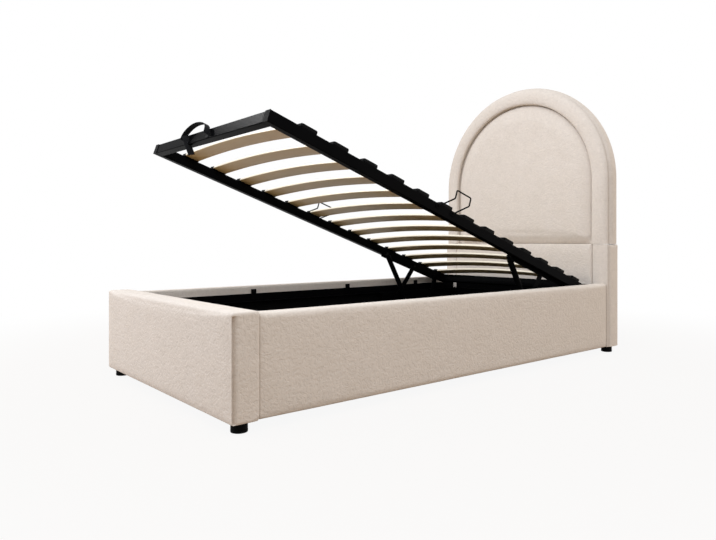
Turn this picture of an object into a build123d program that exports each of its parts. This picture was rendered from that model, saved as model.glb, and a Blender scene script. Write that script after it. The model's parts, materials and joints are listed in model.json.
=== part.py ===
from build123d import *
from math import atan2, cos, degrees, hypot, radians, sin, sqrt
import os

# Single ottoman storage bed with an arched, padded headboard and a gas-assisted lift-up slatted base.
# Millimetres. X runs across the bed, +Y runs from the foot to the head, +Z is up.
# The origin is on the floor under the middle of the bed. The base is drawn raised, resting on its open stop.

# The two sides of the bed, and the side of the middle plane that each lies on
sides = (("left", -1), ("right", 1))

# Overall sizes of the bed
bed_height = 1376.0
ground_clearance = 30.0

# Sizes that the base and the mattress share, and the room round the closed base
mattress_width = 900.0
base_length = 1825.0
base_side_gap = 15.0
base_foot_gap = 82.8
base_head_gap = 11.2

# Footboard, side rails and headboard
footboard_depth = 90.0
footboard_top = 343.0
footboard_edge_radius = 14.0
rail_top = 337.0
rail_thickness = 53.0
rail_set_in = 7.0
rail_edge_radius = 12.0
headboard_depth = 103.0
headboard_base_top = 529.0
headboard_wing_width = 85.0
headboard_wing_radius = 12.0
headboard_seam_radius = 3.0
arch_set_back = 15.0
arch_board_thickness = 25.0
arch_board_margin = 3.0
border_width = 93.0
border_outer_chamfer = 18.0
border_inner_chamfer = 12.0
panel_crown = 14.0
panel_recess = 2.0
panel_crease = 1.5

# Feet
foot_diameter = 50.0
foot_side_margin = 40.0
foot_end_margin = 45.0

# Steel angles round the inside of the box
angle_top = 300.0
head_angle_top = 330.0
angle_thickness = 2.5
angle_ledge = 30.0
angle_joint_gap = 0.2
base_rest_gap = 4.0

# Brackets that tie the side angles to the rails, and their places along the rail from its foot end
bracket_place_shares = (0.2845, 0.5742, 0.8327)
bracket_width = 25.0
bracket_rise = 20.0
bracket_foot_gap = 3.0
bracket_thickness = 2.5

# Storage box
lining_thickness = 3.0
lining_top_gap = 2.5
floor_thickness = 4.0
floor_side_gap = 0.3
floor_joint_gap = 0.5
batten_width = 45.0
batten_count = 4
corner_bracket_leg = 50.0
corner_bracket_height = 110.0
corner_bracket_drop = 20.0
corner_bracket_thickness = 3.0

# Screws and bolts, with six-sided heads
hex_sides = 6
screw_head_diameter = 9.0
screw_head_height = 2.6
hinge_bolt_diameter = 8.0
hinge_bolt_head_diameter = 13.0
hinge_bolt_head_height = 4.5
hinge_bolt_count = 2
hinge_bolt_end_margin = 60.0
bolt_clearance = 0.2
bolt_tip_gap = 0.5

# Pivots of the lift: heights over the floor, and places back from the headboard or along the base
base_tilt = 19.1
arm_open_angle = 51.4
arm_length = 336.5
arm_pivot_z = 140.0
arm_head_closed_z = 280.0
arm_head_inset = 273.75
arm_head_depth = 30.05
link_pivot_back = 271.0
link_pivot_z = 113.0
link_head_offset = 180.0
link_head_drop = 8.0
strut_pivot_back = 365.0
strut_pivot_z = 52.0
strut_head_offset = 232.4
strut_head_drop = 4.3

# Lift plates, arms and pins
plate_thickness = 3.0
plate_margin = 16.0
plate_top_margin = 8.0
base_plate_set_out = 7.0
base_plate_margin = 22.0
base_plate_floor_gap = 2.5
arm_thickness = 5.0
arm_width = 26.0
arm_plate_gap = 1.0
pin_diameter = 8.0
pin_head_diameter = 14.0
pin_head_height = 3.0
pin_collar_diameter = 15.0
pin_running_gap = 0.05
pin_side_gap = 0.3
link_eye_width = 30.0
link_eye_slack = 5.0
link_head_diameter = 29.0

# Gas strut
strut_arm_gap = 3.0
strut_cylinder_diameter = 26.0
strut_bore_diameter = 22.4
strut_cap_start = 13.0
strut_cap_thickness = 8.0
strut_tip_gap = 3.6
strut_end_gap = 15.6
strut_eye_diameter = 18.0
strut_eye_thickness = 8.0
strut_neck_width = 8.0
strut_collar_diameter = 12.0

# Raised base
tube_width = 30.0
tube_depth = 40.0
tube_wall = 1.5
tube_corner_radius = 3.0
tube_cap_thickness = 2.0
slat_count = 13
slat_foot_margin = 149.0
slat_head_margin = 50.0
slat_width = 63.0
slat_thickness = 8.0
slat_crown = 20.0
slat_seat = 1.5
slat_end_inset = 14.0
slat_fit = 0.3
holder_width = 68.0
holder_length = 42.0
holder_height = 14.5
holder_set_in = 1.0

# Pull strap on the foot tube
strap_span = 190.0
strap_centre = -48.0
strap_rise = 62.0
strap_thickness = 2.5
strap_width = 22.0
strap_tab_width = 26.0
strap_tab_height = 30.0
strap_tab_top = 4.0
strap_face_gap = 0.2
strap_tail_length = 32.0
strap_tail_run = 16.0
strap_tail_drop = 17.0

# Wire hoops that hold the mattress
hoop_wire_diameter = 6.0
hoop_wire_sides = 8
hoop_first = 775.0
hoop_span = 85.0
hoop_foot_depth = 12.0
hoop_lean = 78.0
hoop_shoulder = 49.0
hoop_top = 83.0
hoop_pad_length = 24.0
hoop_pad_height = 18.0
hoop_pad_thickness = 2.0
hoop_wire_sink = 0.5


# Derived places
base_half_width = mattress_width / 2
rail_inner_x = base_half_width + base_side_gap
half_width = rail_inner_x + rail_thickness + rail_set_in
bed_width = 2 * half_width
rail_length = base_foot_gap + base_length + base_head_gap
bed_length = footboard_depth + rail_length + headboard_depth
foot_face_y = -bed_length / 2
head_back_y = bed_length / 2
footboard_inner_y = foot_face_y + footboard_depth
headboard_face_y = head_back_y - headboard_depth
slat_pitch = (base_length - slat_foot_margin - slat_head_margin) / (slat_count - 1)
rail_mid_y = (headboard_face_y + footboard_inner_y) / 2
arch_centre_z = bed_height - half_width
arch_inner_radius = half_width - border_width
arch_front_depth = headboard_depth - arch_set_back - arch_board_thickness
tilt = radians(base_tilt)

# Head of the front arms with the base closed and with it open, and the foot end of the open base
arm_closed_run = sqrt(arm_length**2 - (arm_head_closed_z - arm_pivot_z) ** 2)
arm_head_closed_y = headboard_face_y - base_head_gap - arm_head_inset
arm_pivot_y = arm_head_closed_y - arm_closed_run
arm_head_y = arm_pivot_y + arm_length * cos(radians(arm_open_angle))
arm_head_z = arm_pivot_z + arm_length * sin(radians(arm_open_angle))
arm_head_along = base_length - arm_head_inset
foot_end_y = arm_head_y - arm_head_along * cos(tilt) + arm_head_depth * sin(tilt)
foot_end_z = arm_head_z + arm_head_along * sin(tilt) + arm_head_depth * cos(tilt)

# Height of the base's top face when it is closed, and of the ledge that it then lies over
closed_top_z = arm_head_closed_z + arm_head_depth
ledge_top_z = closed_top_z - tube_depth - base_rest_gap
floor_top_z = ground_clearance + 2 * floor_thickness
lining_top_z = ledge_top_z - angle_thickness - lining_top_gap

# Planes across X on which the lift is laid out, measured from the middle of the bed
hinge_plate_x = base_half_width - tube_width - plate_thickness
arm_outer_x = hinge_plate_x - arm_plate_gap
arm_inner_x = arm_outer_x - arm_thickness
base_plate_x = hinge_plate_x + base_plate_set_out
arm_x = (arm_outer_x + arm_inner_x) / 2
into_wall = (Align.CENTER, Align.CENTER, Align.MAX)
off_wall = (Align.CENTER, Align.CENTER, Align.MIN)
strut_x = arm_inner_x - strut_arm_gap - strut_cylinder_diameter / 2


def finish(part, name):
    """Label one finished piece and write it to its own STEP file."""
    part.label = name
    export_step(part, f"parts/{name}.step")


def facing_foot(y):
    """Plane that faces the foot of the bed, with X across and Z up."""
    return Plane(origin=(0, y, 0), x_dir=(1, 0, 0), z_dir=(0, -1, 0))


def side_view(x):
    """Upright plane at one place across the bed, with Y across and Z up."""
    return Plane(origin=(x, 0, 0), x_dir=(0, 1, 0), z_dir=(1, 0, 0))


def base_level(n):
    """Plane of the raised base, n above its top face: X across, Y from its foot end to its head end."""
    origin = (0, foot_end_y + n * sin(tilt), foot_end_z + n * cos(tilt))
    return Plane(origin=origin, x_dir=(1, 0, 0), z_dir=(0, sin(tilt), cos(tilt)))


def base_side(x):
    """Side view of the raised base: X along the base, Y out of its top face."""
    return Plane(origin=(x, foot_end_y, foot_end_z), x_dir=(0, cos(tilt), -sin(tilt)), z_dir=(1, 0, 0))


def base_section(s):
    """Cross-section of the raised base, s from its foot end: X across, Y out of its top face."""
    origin = (0, foot_end_y + s * cos(tilt), foot_end_z - s * sin(tilt))
    return Plane(origin=origin, x_dir=(1, 0, 0), z_dir=(0, -cos(tilt), sin(tilt)))


def from_base(along, above):
    """Place in the side view of a point of the base, given along it and above its top face."""
    y = foot_end_y + along * cos(tilt) + above * sin(tilt)
    z = foot_end_z - along * sin(tilt) + above * cos(tilt)
    return y, z


# Pivots on the base, along it and above its top face, and their places in the side view
arm_head = (arm_head_along, -arm_head_depth)
link_head = (arm_head_along + link_head_offset, -arm_head_depth - link_head_drop)
strut_head = (arm_head_along - strut_head_offset, -arm_head_depth - strut_head_drop)
link_pivot_y = headboard_face_y - link_pivot_back
strut_pivot_y = headboard_face_y - strut_pivot_back
link_head_y, link_head_z = from_base(*link_head)
strut_head_y, strut_head_z = from_base(*strut_head)

# Length of the closed gas strut between its eyes, which sets how long its cylinder and rod can be
strut_closed_rise = arm_head_closed_z - strut_head_drop - strut_pivot_z
strut_closed_run = strut_pivot_y - arm_head_closed_y + strut_head_offset
strut_closed_length = hypot(strut_closed_run, strut_closed_rise)
strut_cylinder_length = strut_closed_length - strut_end_gap
strut_rod_length = strut_closed_length - strut_cap_start - strut_cap_thickness - strut_tip_gap


def make_footboard():
    """Padded footboard, a wrapped box over the full width of the bed."""
    with BuildPart() as footboard:
        with BuildSketch(facing_foot(foot_face_y)):
            with Locations((0, (footboard_top + ground_clearance) / 2)):
                Rectangle(bed_width, footboard_top - ground_clearance)
        extrude(amount=-footboard_depth)
        outer = footboard.edges().group_by(Axis.Y)[0]
        corners = footboard.edges().filter_by(Axis.Y).group_by(Axis.Z)[-1]
        fillet(outer + corners, radius=footboard_edge_radius)
    finish(footboard.part, "footboard")


def make_side_rails():
    """Padded side rails between the footboard and the headboard."""
    for name, side in sides:
        with BuildPart() as rail:
            with BuildSketch(Plane.XY.offset(ground_clearance)):
                with Locations((side * (rail_inner_x + rail_thickness / 2), rail_mid_y)):
                    Rectangle(rail_thickness, rail_length)
            extrude(amount=rail_top - ground_clearance)
            fillet(rail.edges().filter_by(Axis.Y), radius=rail_edge_radius)
        finish(rail.part, f"side_rail_{name}")


def make_headboard_base():
    """Lower part of the headboard: a middle panel between two wings that take the rails."""
    base_height = headboard_base_top - ground_clearance
    middle_z = ground_clearance + base_height / 2
    wing_x = half_width - headboard_wing_width / 2
    panel_width = bed_width - 2 * headboard_wing_width
    with BuildPart() as panel:
        with BuildSketch(facing_foot(headboard_face_y)):
            with Locations((0, middle_z)):
                Rectangle(panel_width, base_height)
        extrude(amount=-headboard_depth)
        front = panel.edges().group_by(Axis.Y)[0]
        fillet(front.filter_by(Axis.Z), radius=headboard_seam_radius)
    finish(panel.part, "headboard_base")

    for name, side in sides:
        with BuildPart() as wing:
            with BuildSketch(facing_foot(headboard_face_y)):
                with Locations((side * wing_x, middle_z)):
                    Rectangle(headboard_wing_width, base_height)
            extrude(amount=-headboard_depth)
            outer = wing.edges().group_by(Axis.X)[-1 if side > 0 else 0]
            fillet(outer, radius=headboard_wing_radius)
        finish(wing.part, f"headboard_wing_{name}")


def arch_outline(radius, foot_z):
    """Edges of an arch of one radius that stands on a straight foot."""
    Line((-radius, foot_z), (radius, foot_z))
    Line((radius, foot_z), (radius, arch_centre_z))
    ThreePointArc((radius, arch_centre_z), (0, arch_centre_z + radius), (-radius, arch_centre_z))
    Line((-radius, arch_centre_z), (-radius, foot_z))


def make_headboard_arch():
    """Arched upper part of the headboard: a padded border roll, a crowned panel and the board behind."""
    with BuildPart() as border:
        with BuildSketch(facing_foot(headboard_face_y)):
            with BuildLine():
                arch_outline(half_width, headboard_base_top)
            make_face()
            with BuildLine():
                arch_outline(arch_inner_radius, headboard_base_top)
            make_face(mode=Mode.SUBTRACT)
        extrude(amount=-arch_front_depth)
        front = border.edges().group_by(Axis.Y)[0]
        level = front.filter_by(Axis.X)
        rim = front - level
        outer = rim.filter_by(lambda e: reach(e) > (half_width + arch_inner_radius) / 2)
        chamfer(outer, length=border_outer_chamfer)
        front = border.edges().group_by(Axis.Y)[0]
        inner = front.filter_by(lambda e: reach(e) < (half_width + arch_inner_radius) / 2)
        chamfer(inner - inner.filter_by(Axis.X), length=border_inner_chamfer)
    finish(border.part, "headboard_border")

    crown_radius = (arch_inner_radius**2 + panel_crown**2) / (2 * panel_crown)
    crown_y = headboard_face_y + panel_recess + crown_radius
    crown_z = (headboard_base_top + arch_centre_z + arch_inner_radius) / 2
    with BuildPart() as panel:
        with BuildSketch(facing_foot(headboard_face_y)):
            with BuildLine():
                arch_outline(arch_inner_radius - panel_crease, headboard_base_top)
            make_face()
        extrude(amount=-arch_front_depth)
        with Locations((0, crown_y, crown_z)):
            Sphere(crown_radius, mode=Mode.INTERSECT)
    finish(panel.part, "headboard_panel")

    with BuildPart() as board:
        with BuildSketch(facing_foot(headboard_face_y + arch_front_depth)):
            with BuildLine():
                arch_outline(half_width - arch_board_margin, headboard_base_top)
            make_face()
        extrude(amount=-arch_board_thickness)
    finish(board.part, "headboard_board")


def reach(edge):
    """Distance of an edge's middle from the arch's centre line."""
    middle = edge @ 0.5
    if middle.Z < arch_centre_z:
        return abs(middle.X)
    return hypot(middle.X, middle.Z - arch_centre_z)


def make_feet():
    """Four round feet."""
    places = [
        (side * (half_width - foot_side_margin), y)
        for _, side in sides
        for y in (foot_face_y + foot_end_margin, head_back_y - foot_end_margin)
    ]
    with BuildPart() as feet:
        with Locations(places):
            Cylinder(foot_diameter / 2, ground_clearance, align=off_wall)
    finish(feet.part, "feet")


def angle_section(top_z):
    """Outline of a steel angle: an upright flange against a wall, with a ledge at its foot."""
    foot_z = ledge_top_z - angle_thickness
    Polyline(
        (0, foot_z),
        (angle_ledge, foot_z),
        (angle_ledge, ledge_top_z),
        (angle_thickness, ledge_top_z),
        (angle_thickness, top_z),
        (0, top_z),
        close=True,
    )


def make_chassis():
    """Steel angles round the inner walls, two lengths at each side and one at each end."""
    for name, side in sides:
        half_length = (rail_length - angle_joint_gap) / 2
        with BuildPart() as angle:
            for end in (-1, 1):
                origin = (side * rail_inner_x, rail_mid_y + end * rail_length / 2, 0)
                with BuildSketch(Plane(origin=origin, x_dir=(-side, 0, 0), z_dir=(0, side, 0))):
                    with BuildLine():
                        angle_section(angle_top)
                    make_face()
                extrude(amount=-end * side * half_length)
            with Locations(hinge_bolt_seats(side)):
                Cylinder(
                    hinge_bolt_diameter / 2 + bolt_clearance,
                    plate_thickness + angle_thickness,
                    align=off_wall,
                    mode=Mode.SUBTRACT,
                )
        finish(angle.part, f"chassis_angle_{name}")

    end_half = rail_inner_x - angle_ledge - angle_joint_gap
    for name, y, inward, top_z in (
        ("foot", footboard_inner_y, 1, angle_top),
        ("head", headboard_face_y, -1, head_angle_top),
    ):
        wall = Plane(origin=(0, y, 0), x_dir=(0, inward, 0), z_dir=(inward, 0, 0))
        with BuildPart() as angle:
            with BuildSketch(wall):
                with BuildLine():
                    angle_section(top_z)
                make_face()
            extrude(amount=end_half, both=True)
        finish(angle.part, f"chassis_angle_{name}")


def make_rail_brackets():
    """Stepped strips that hold each side angle to the padded rail above it."""
    flange_x = rail_inner_x - angle_thickness
    low_z = ledge_top_z + bracket_foot_gap
    high_z = angle_top + bracket_rise
    with BuildPart() as brackets:
        for side in (-1, 1):
            for y in bracket_places():
                wall = Plane(origin=(side * flange_x, y, 0), x_dir=(-side, 0, 0), z_dir=(0, side, 0))
                with BuildSketch(wall):
                    with BuildLine():
                        Polyline(
                            (0, low_z),
                            (bracket_thickness, low_z),
                            (bracket_thickness, high_z),
                            (-angle_thickness, high_z),
                            (-angle_thickness, angle_top + bolt_clearance),
                            (0, angle_top + bolt_clearance),
                            close=True,
                        )
                    make_face()
                extrude(amount=bracket_width / 2, both=True)
    finish(brackets.part, "rail_brackets")

    with BuildPart() as screws:
        for seat in bracket_screw_seats():
            with BuildSketch(seat):
                RegularPolygon(screw_head_diameter / 2, hex_sides, major_radius=False)
            extrude(amount=screw_head_height)
    finish(screws.part, "bracket_screws")


def bracket_places():
    """Places of the rail brackets along the bed."""
    return [footboard_inner_y + share * rail_length for share in bracket_place_shares]


def bracket_screw_seats():
    """Seats of the screws on the rail brackets, each facing the middle of the bed."""
    seats = []
    for _, side in sides:
        for y in bracket_places():
            face_x = side * (rail_inner_x - angle_thickness - bracket_thickness)
            origin = (face_x, y, angle_top + bracket_rise / 2)
            seats.append(Plane(origin=origin, x_dir=(0, 1, 0), z_dir=(-side, 0, 0)))
    return seats


def make_storage_box():
    """Floor boards on battens, and the black lining boards that stand round them."""
    board_length = rail_length / 2 - floor_joint_gap
    with BuildPart() as floor:
        for end in (-1, 1):
            with BuildSketch(Plane.XY.offset(ground_clearance + floor_thickness)):
                with Locations((0, rail_mid_y + end * rail_length / 4)):
                    Rectangle(2 * (rail_inner_x - floor_side_gap), board_length)
            extrude(amount=floor_thickness)
    finish(floor.part, "storage_floor")

    with BuildPart() as battens:
        with BuildSketch(Plane.XY.offset(ground_clearance)):
            spacing = rail_length / batten_count
            with Locations((0, rail_mid_y)):
                with GridLocations(0, spacing, 1, batten_count):
                    Rectangle(2 * rail_inner_x, batten_width)
        extrude(amount=floor_thickness)
    finish(battens.part, "floor_battens")

    lining_height = lining_top_z - floor_top_z
    lining_x = rail_inner_x - lining_thickness / 2
    with BuildPart() as linings:
        with BuildSketch(Plane.XY.offset(floor_top_z)):
            with Locations((-lining_x, rail_mid_y), (lining_x, rail_mid_y)):
                Rectangle(lining_thickness, rail_length)
        extrude(amount=lining_height)
    finish(linings.part, "lining_sides")

    end_width = 2 * (rail_inner_x - lining_thickness)
    with BuildPart() as ends:
        with BuildSketch(Plane.XY.offset(floor_top_z)):
            with Locations(
                (0, footboard_inner_y + lining_thickness / 2),
                (0, headboard_face_y - lining_thickness / 2),
            ):
                Rectangle(end_width, lining_thickness)
        extrude(amount=lining_height)
    finish(ends.part, "lining_ends")

    corner_x = rail_inner_x - lining_thickness
    inner = corner_bracket_thickness
    with BuildPart() as corners:
        with BuildSketch(Plane.XY.offset(lining_top_z - corner_bracket_drop - corner_bracket_height)):
            for side in (-1, 1):
                for y, inward in (
                    (footboard_inner_y + lining_thickness, 1),
                    (headboard_face_y - lining_thickness, -1),
                ):
                    with BuildLine():
                        Polyline(
                            (side * corner_x, y),
                            (side * (corner_x - corner_bracket_leg), y),
                            (side * (corner_x - corner_bracket_leg), y + inward * inner),
                            (side * (corner_x - inner), y + inward * inner),
                            (side * (corner_x - inner), y + inward * corner_bracket_leg),
                            (side * corner_x, y + inward * corner_bracket_leg),
                            close=True,
                        )
                    make_face()
        extrude(amount=corner_bracket_height)
    finish(corners.part, "corner_brackets")


def rounded_bar(start, end, width):
    """Outline of a flat bar with round ends, between two pivot points of a side view."""
    with Locations(((start[0] + end[0]) / 2, (start[1] + end[1]) / 2)):
        length = hypot(end[0] - start[0], end[1] - start[1])
        angle = degrees(atan2(end[1] - start[1], end[0] - start[0]))
        SlotCenterToCenter(length, width, rotation=angle)


def make_base_plates():
    """Lower lift plates, bolted under the ledges of the side angles."""
    top_z = ledge_top_z - angle_thickness
    low_z = floor_top_z + base_plate_floor_gap
    front_y = arm_pivot_y - base_plate_margin
    back_y = link_pivot_y + base_plate_margin
    flange_width = rail_inner_x - lining_thickness - base_plate_x - bolt_clearance
    for name, side in sides:
        with BuildPart() as plate:
            with BuildSketch(side_view(side * base_plate_x)) as outline:
                with BuildLine():
                    Polyline(
                        (front_y, top_z),
                        (front_y, arm_pivot_z - base_plate_margin),
                        (strut_pivot_y - 2 * base_plate_margin, low_z),
                        (strut_pivot_y + base_plate_margin, low_z),
                        (back_y, link_pivot_z - base_plate_margin),
                        (back_y, top_z),
                        close=True,
                    )
                make_face()
                low_corners = outline.vertices().sort_by(Axis.Z)[:4]
                fillet(low_corners, radius=base_plate_margin / 2)
            extrude(amount=side * plate_thickness)
            with BuildSketch(Plane.XY.offset(top_z - plate_thickness)):
                with Locations((side * (base_plate_x + flange_width / 2), (front_y + back_y) / 2)):
                    Rectangle(flange_width, back_y - front_y)
            extrude(amount=plate_thickness)
            with Locations(hinge_bolt_seats(side)):
                Cylinder(
                    hinge_bolt_diameter / 2 + bolt_clearance,
                    plate_thickness,
                    align=off_wall,
                    mode=Mode.SUBTRACT,
                )
        finish(plate.part, f"lift_base_plate_{name}")

    with BuildPart() as bolts:
        for _, side in sides:
            flange_z = ledge_top_z - angle_thickness - plate_thickness
            with BuildSketch(Plane.XY.offset(flange_z)):
                with Locations([seat[:2] for seat in hinge_bolt_seats(side)]):
                    RegularPolygon(hinge_bolt_head_diameter / 2, hex_sides, major_radius=False)
            extrude(amount=-hinge_bolt_head_height)
            with Locations(hinge_bolt_seats(side)):
                Cylinder(
                    hinge_bolt_diameter / 2, plate_thickness + angle_thickness - bolt_tip_gap, align=off_wall
                )
    finish(bolts.part, "lift_base_bolts")


def hinge_bolt_seats(side):
    """Seats of the bolts of one lower lift plate, on the underside of its flange."""
    front_y = arm_pivot_y - base_plate_margin + hinge_bolt_end_margin
    back_y = link_pivot_y + base_plate_margin - hinge_bolt_end_margin
    step = (back_y - front_y) / (hinge_bolt_count - 1)
    x = side * (base_plate_x + rail_inner_x) / 2
    z = ledge_top_z - angle_thickness - plate_thickness
    return [(x, front_y + k * step, z) for k in range(hinge_bolt_count)]


def make_base_pins():
    """Pins of the lower lift plates: front arm, rear link and gas strut."""
    with BuildPart() as pins:
        for side in (-1, 1):
            for y, z in ((arm_pivot_y, arm_pivot_z), (link_pivot_y, link_pivot_z)):
                make_pin(side, y, z, base_plate_x, arm_x, arm_thickness, pin_collar_diameter, pin_head_diameter)
            make_pin(
                side,
                strut_pivot_y,
                strut_pivot_z,
                base_plate_x,
                strut_x,
                strut_eye_thickness,
                strut_collar_diameter,
                pin_head_diameter,
            )
    finish(pins.part, "lift_base_pins")


def make_pin(side, y, z, plate_x, middle_x, width, collar, head):
    """Shouldered pin that stands inward from a plate: collar, running length and head."""
    collar_end = middle_x + width / 2 + pin_side_gap
    head_x = middle_x - width / 2 - pin_side_gap
    seat = Plane(origin=(side * plate_x, y, z), x_dir=(0, 1, 0), z_dir=(-side, 0, 0))
    with Locations(seat):
        Cylinder(pin_diameter / 2, plate_x - head_x, align=off_wall)
    with BuildSketch(seat) as collar_outline:
        RegularPolygon(collar / 2, hex_sides, major_radius=False)
    extrude(collar_outline.sketch, amount=plate_x - collar_end)
    with BuildSketch(seat.offset(plate_x - head_x)) as head_outline:
        RegularPolygon(head / 2, hex_sides, major_radius=False)
    extrude(head_outline.sketch, amount=pin_head_height)


def make_base_frame():
    """Steel tubes of the lift-up base: two sides and two cross tubes between them."""
    for name, side in sides:
        middle = side * (base_half_width - tube_width / 2)
        with BuildPart() as tube:
            with BuildSketch(base_section(0)):
                with Locations((middle, -tube_depth / 2)):
                    RectangleRounded(tube_width, tube_depth, tube_corner_radius)
                    Rectangle(tube_width - 2 * tube_wall, tube_depth - 2 * tube_wall, mode=Mode.SUBTRACT)
            extrude(amount=-base_length)
        finish(tube.part, f"base_side_{name}")

    inner_half = base_half_width - tube_width
    for name, s in (("foot", tube_width / 2), ("head", base_length - tube_width / 2)):
        with BuildPart() as tube:
            with BuildSketch(base_side(0)):
                with Locations((s, -tube_depth / 2)):
                    RectangleRounded(tube_width, tube_depth, tube_corner_radius)
                    Rectangle(tube_width - 2 * tube_wall, tube_depth - 2 * tube_wall, mode=Mode.SUBTRACT)
            extrude(amount=inner_half, both=True)
        finish(tube.part, f"base_{name}_tube")


def make_tube_caps():
    """Plastic caps over the open ends of the side tubes."""
    middle = base_half_width - tube_width / 2
    with BuildPart() as caps:
        for s, outward in ((0, 1), (base_length, -1)):
            with BuildSketch(base_section(s)):
                with Locations((-middle, -tube_depth / 2), (middle, -tube_depth / 2)):
                    Rectangle(tube_width, tube_depth)
            extrude(amount=outward * tube_cap_thickness)
    finish(caps.part, "tube_caps")


def slat_profile(seat, thickness, half_length):
    """Outline of a bowed slat, seen from the foot end."""
    half_span = base_half_width - slat_end_inset
    rise = seat + slat_crown
    drop = slat_crown * (half_length / half_span) ** 2
    ThreePointArc((-half_length, rise - drop), (0, rise), (half_length, rise - drop))
    Line((half_length, rise - drop), (half_length, rise - drop + thickness))
    ThreePointArc(
        (half_length, rise - drop + thickness), (0, rise + thickness), (-half_length, rise - drop + thickness)
    )
    Line((-half_length, rise - drop + thickness), (-half_length, rise - drop))


def slat_places():
    """Distances of the slats' middles from the foot end of the base."""
    return [slat_foot_margin + k * slat_pitch for k in range(slat_count)]


def make_slats():
    """Bowed slats, each sprung between two holders."""
    half_span = base_half_width - slat_end_inset
    for k, s in enumerate(slat_places()):
        with BuildPart() as slat:
            with BuildSketch(base_section(s)):
                with BuildLine():
                    slat_profile(slat_seat, slat_thickness, half_span)
                make_face()
            extrude(amount=slat_width / 2, both=True)
        finish(slat.part, f"slat_{k + 1:02d}")


def make_slat_holders():
    """Caps on the side tubes, each with a pocket for one slat end."""
    outer_x = base_half_width - holder_set_in
    for name, side in sides:
        with BuildPart() as holders:
            for s in slat_places():
                with BuildSketch(base_level(0)):
                    with Locations((side * (outer_x - holder_length / 2), s)):
                        Rectangle(holder_length, holder_width)
                extrude(amount=holder_height)
            for s in slat_places():
                with BuildSketch(base_section(s)):
                    with BuildLine():
                        slat_profile(
                            slat_seat - slat_fit,
                            slat_thickness + 2 * slat_fit,
                            base_half_width - slat_end_inset + slat_fit,
                        )
                    make_face()
                extrude(amount=slat_width / 2 + slat_fit, both=True, mode=Mode.SUBTRACT)
        finish(holders.part, f"slat_holders_{name}")


def make_hinge_plates():
    """Upper lift plates, welded inside the side tubes of the base."""
    start = (strut_head[0], (strut_head[1] + arm_head[1]) / 2)
    end = (link_head[0], (link_head[1] + arm_head[1]) / 2)
    top = -plate_top_margin
    low = link_head[1] - plate_margin
    for name, side in sides:
        with BuildPart() as plate:
            with BuildSketch(base_side(side * hinge_plate_x)) as outline:
                with BuildLine():
                    Polyline(
                        (start[0] - plate_margin, top),
                        (end[0] + plate_margin, top),
                        (end[0] + plate_margin, low),
                        (start[0] - plate_margin, low),
                        close=True,
                    )
                make_face()
                fillet(outline.vertices(), radius=plate_margin / 2)
            extrude(amount=side * plate_thickness)
        finish(plate.part, f"lift_top_plate_{name}")


def make_top_pins():
    """Pins of the upper lift plates: front arm, rear link and gas strut."""
    with BuildPart() as pins:
        for side in (-1, 1):
            make_pin(
                side,
                arm_head_y,
                arm_head_z,
                hinge_plate_x,
                arm_x,
                arm_thickness,
                pin_collar_diameter,
                pin_head_diameter,
            )
            make_pin(
                side,
                link_head_y,
                link_head_z,
                hinge_plate_x,
                arm_x,
                arm_thickness,
                link_head_diameter,
                link_head_diameter,
            )
            make_pin(
                side,
                strut_head_y,
                strut_head_z,
                hinge_plate_x,
                strut_x,
                strut_eye_thickness,
                strut_collar_diameter,
                pin_head_diameter,
            )
    finish(pins.part, "lift_top_pins")


def make_arms():
    """Front arms and rear links, flat bars with an eye at each end."""
    eye = pin_diameter / 2 + pin_running_gap
    for name, side in sides:
        plane = side_view(side * arm_inner_x)
        with BuildPart() as arm:
            with BuildSketch(plane):
                low = (arm_pivot_y, arm_pivot_z)
                high = (arm_head_y, arm_head_z)
                rounded_bar(low, high, arm_width)
                with Locations(low, high):
                    Circle(eye, mode=Mode.SUBTRACT)
            extrude(amount=side * arm_thickness)
        finish(arm.part, f"front_arm_{name}")

        with BuildPart() as link:
            with BuildSketch(plane):
                low = (link_pivot_y, link_pivot_z)
                high = (link_head_y, link_head_z)
                rounded_bar(low, high, link_eye_width)
                with Locations(low):
                    Circle(eye, mode=Mode.SUBTRACT)
                with Locations(high):
                    Circle(pin_diameter / 2 + link_eye_slack, mode=Mode.SUBTRACT)
            extrude(amount=side * arm_thickness)
        finish(link.part, f"rear_link_{name}")


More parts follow.
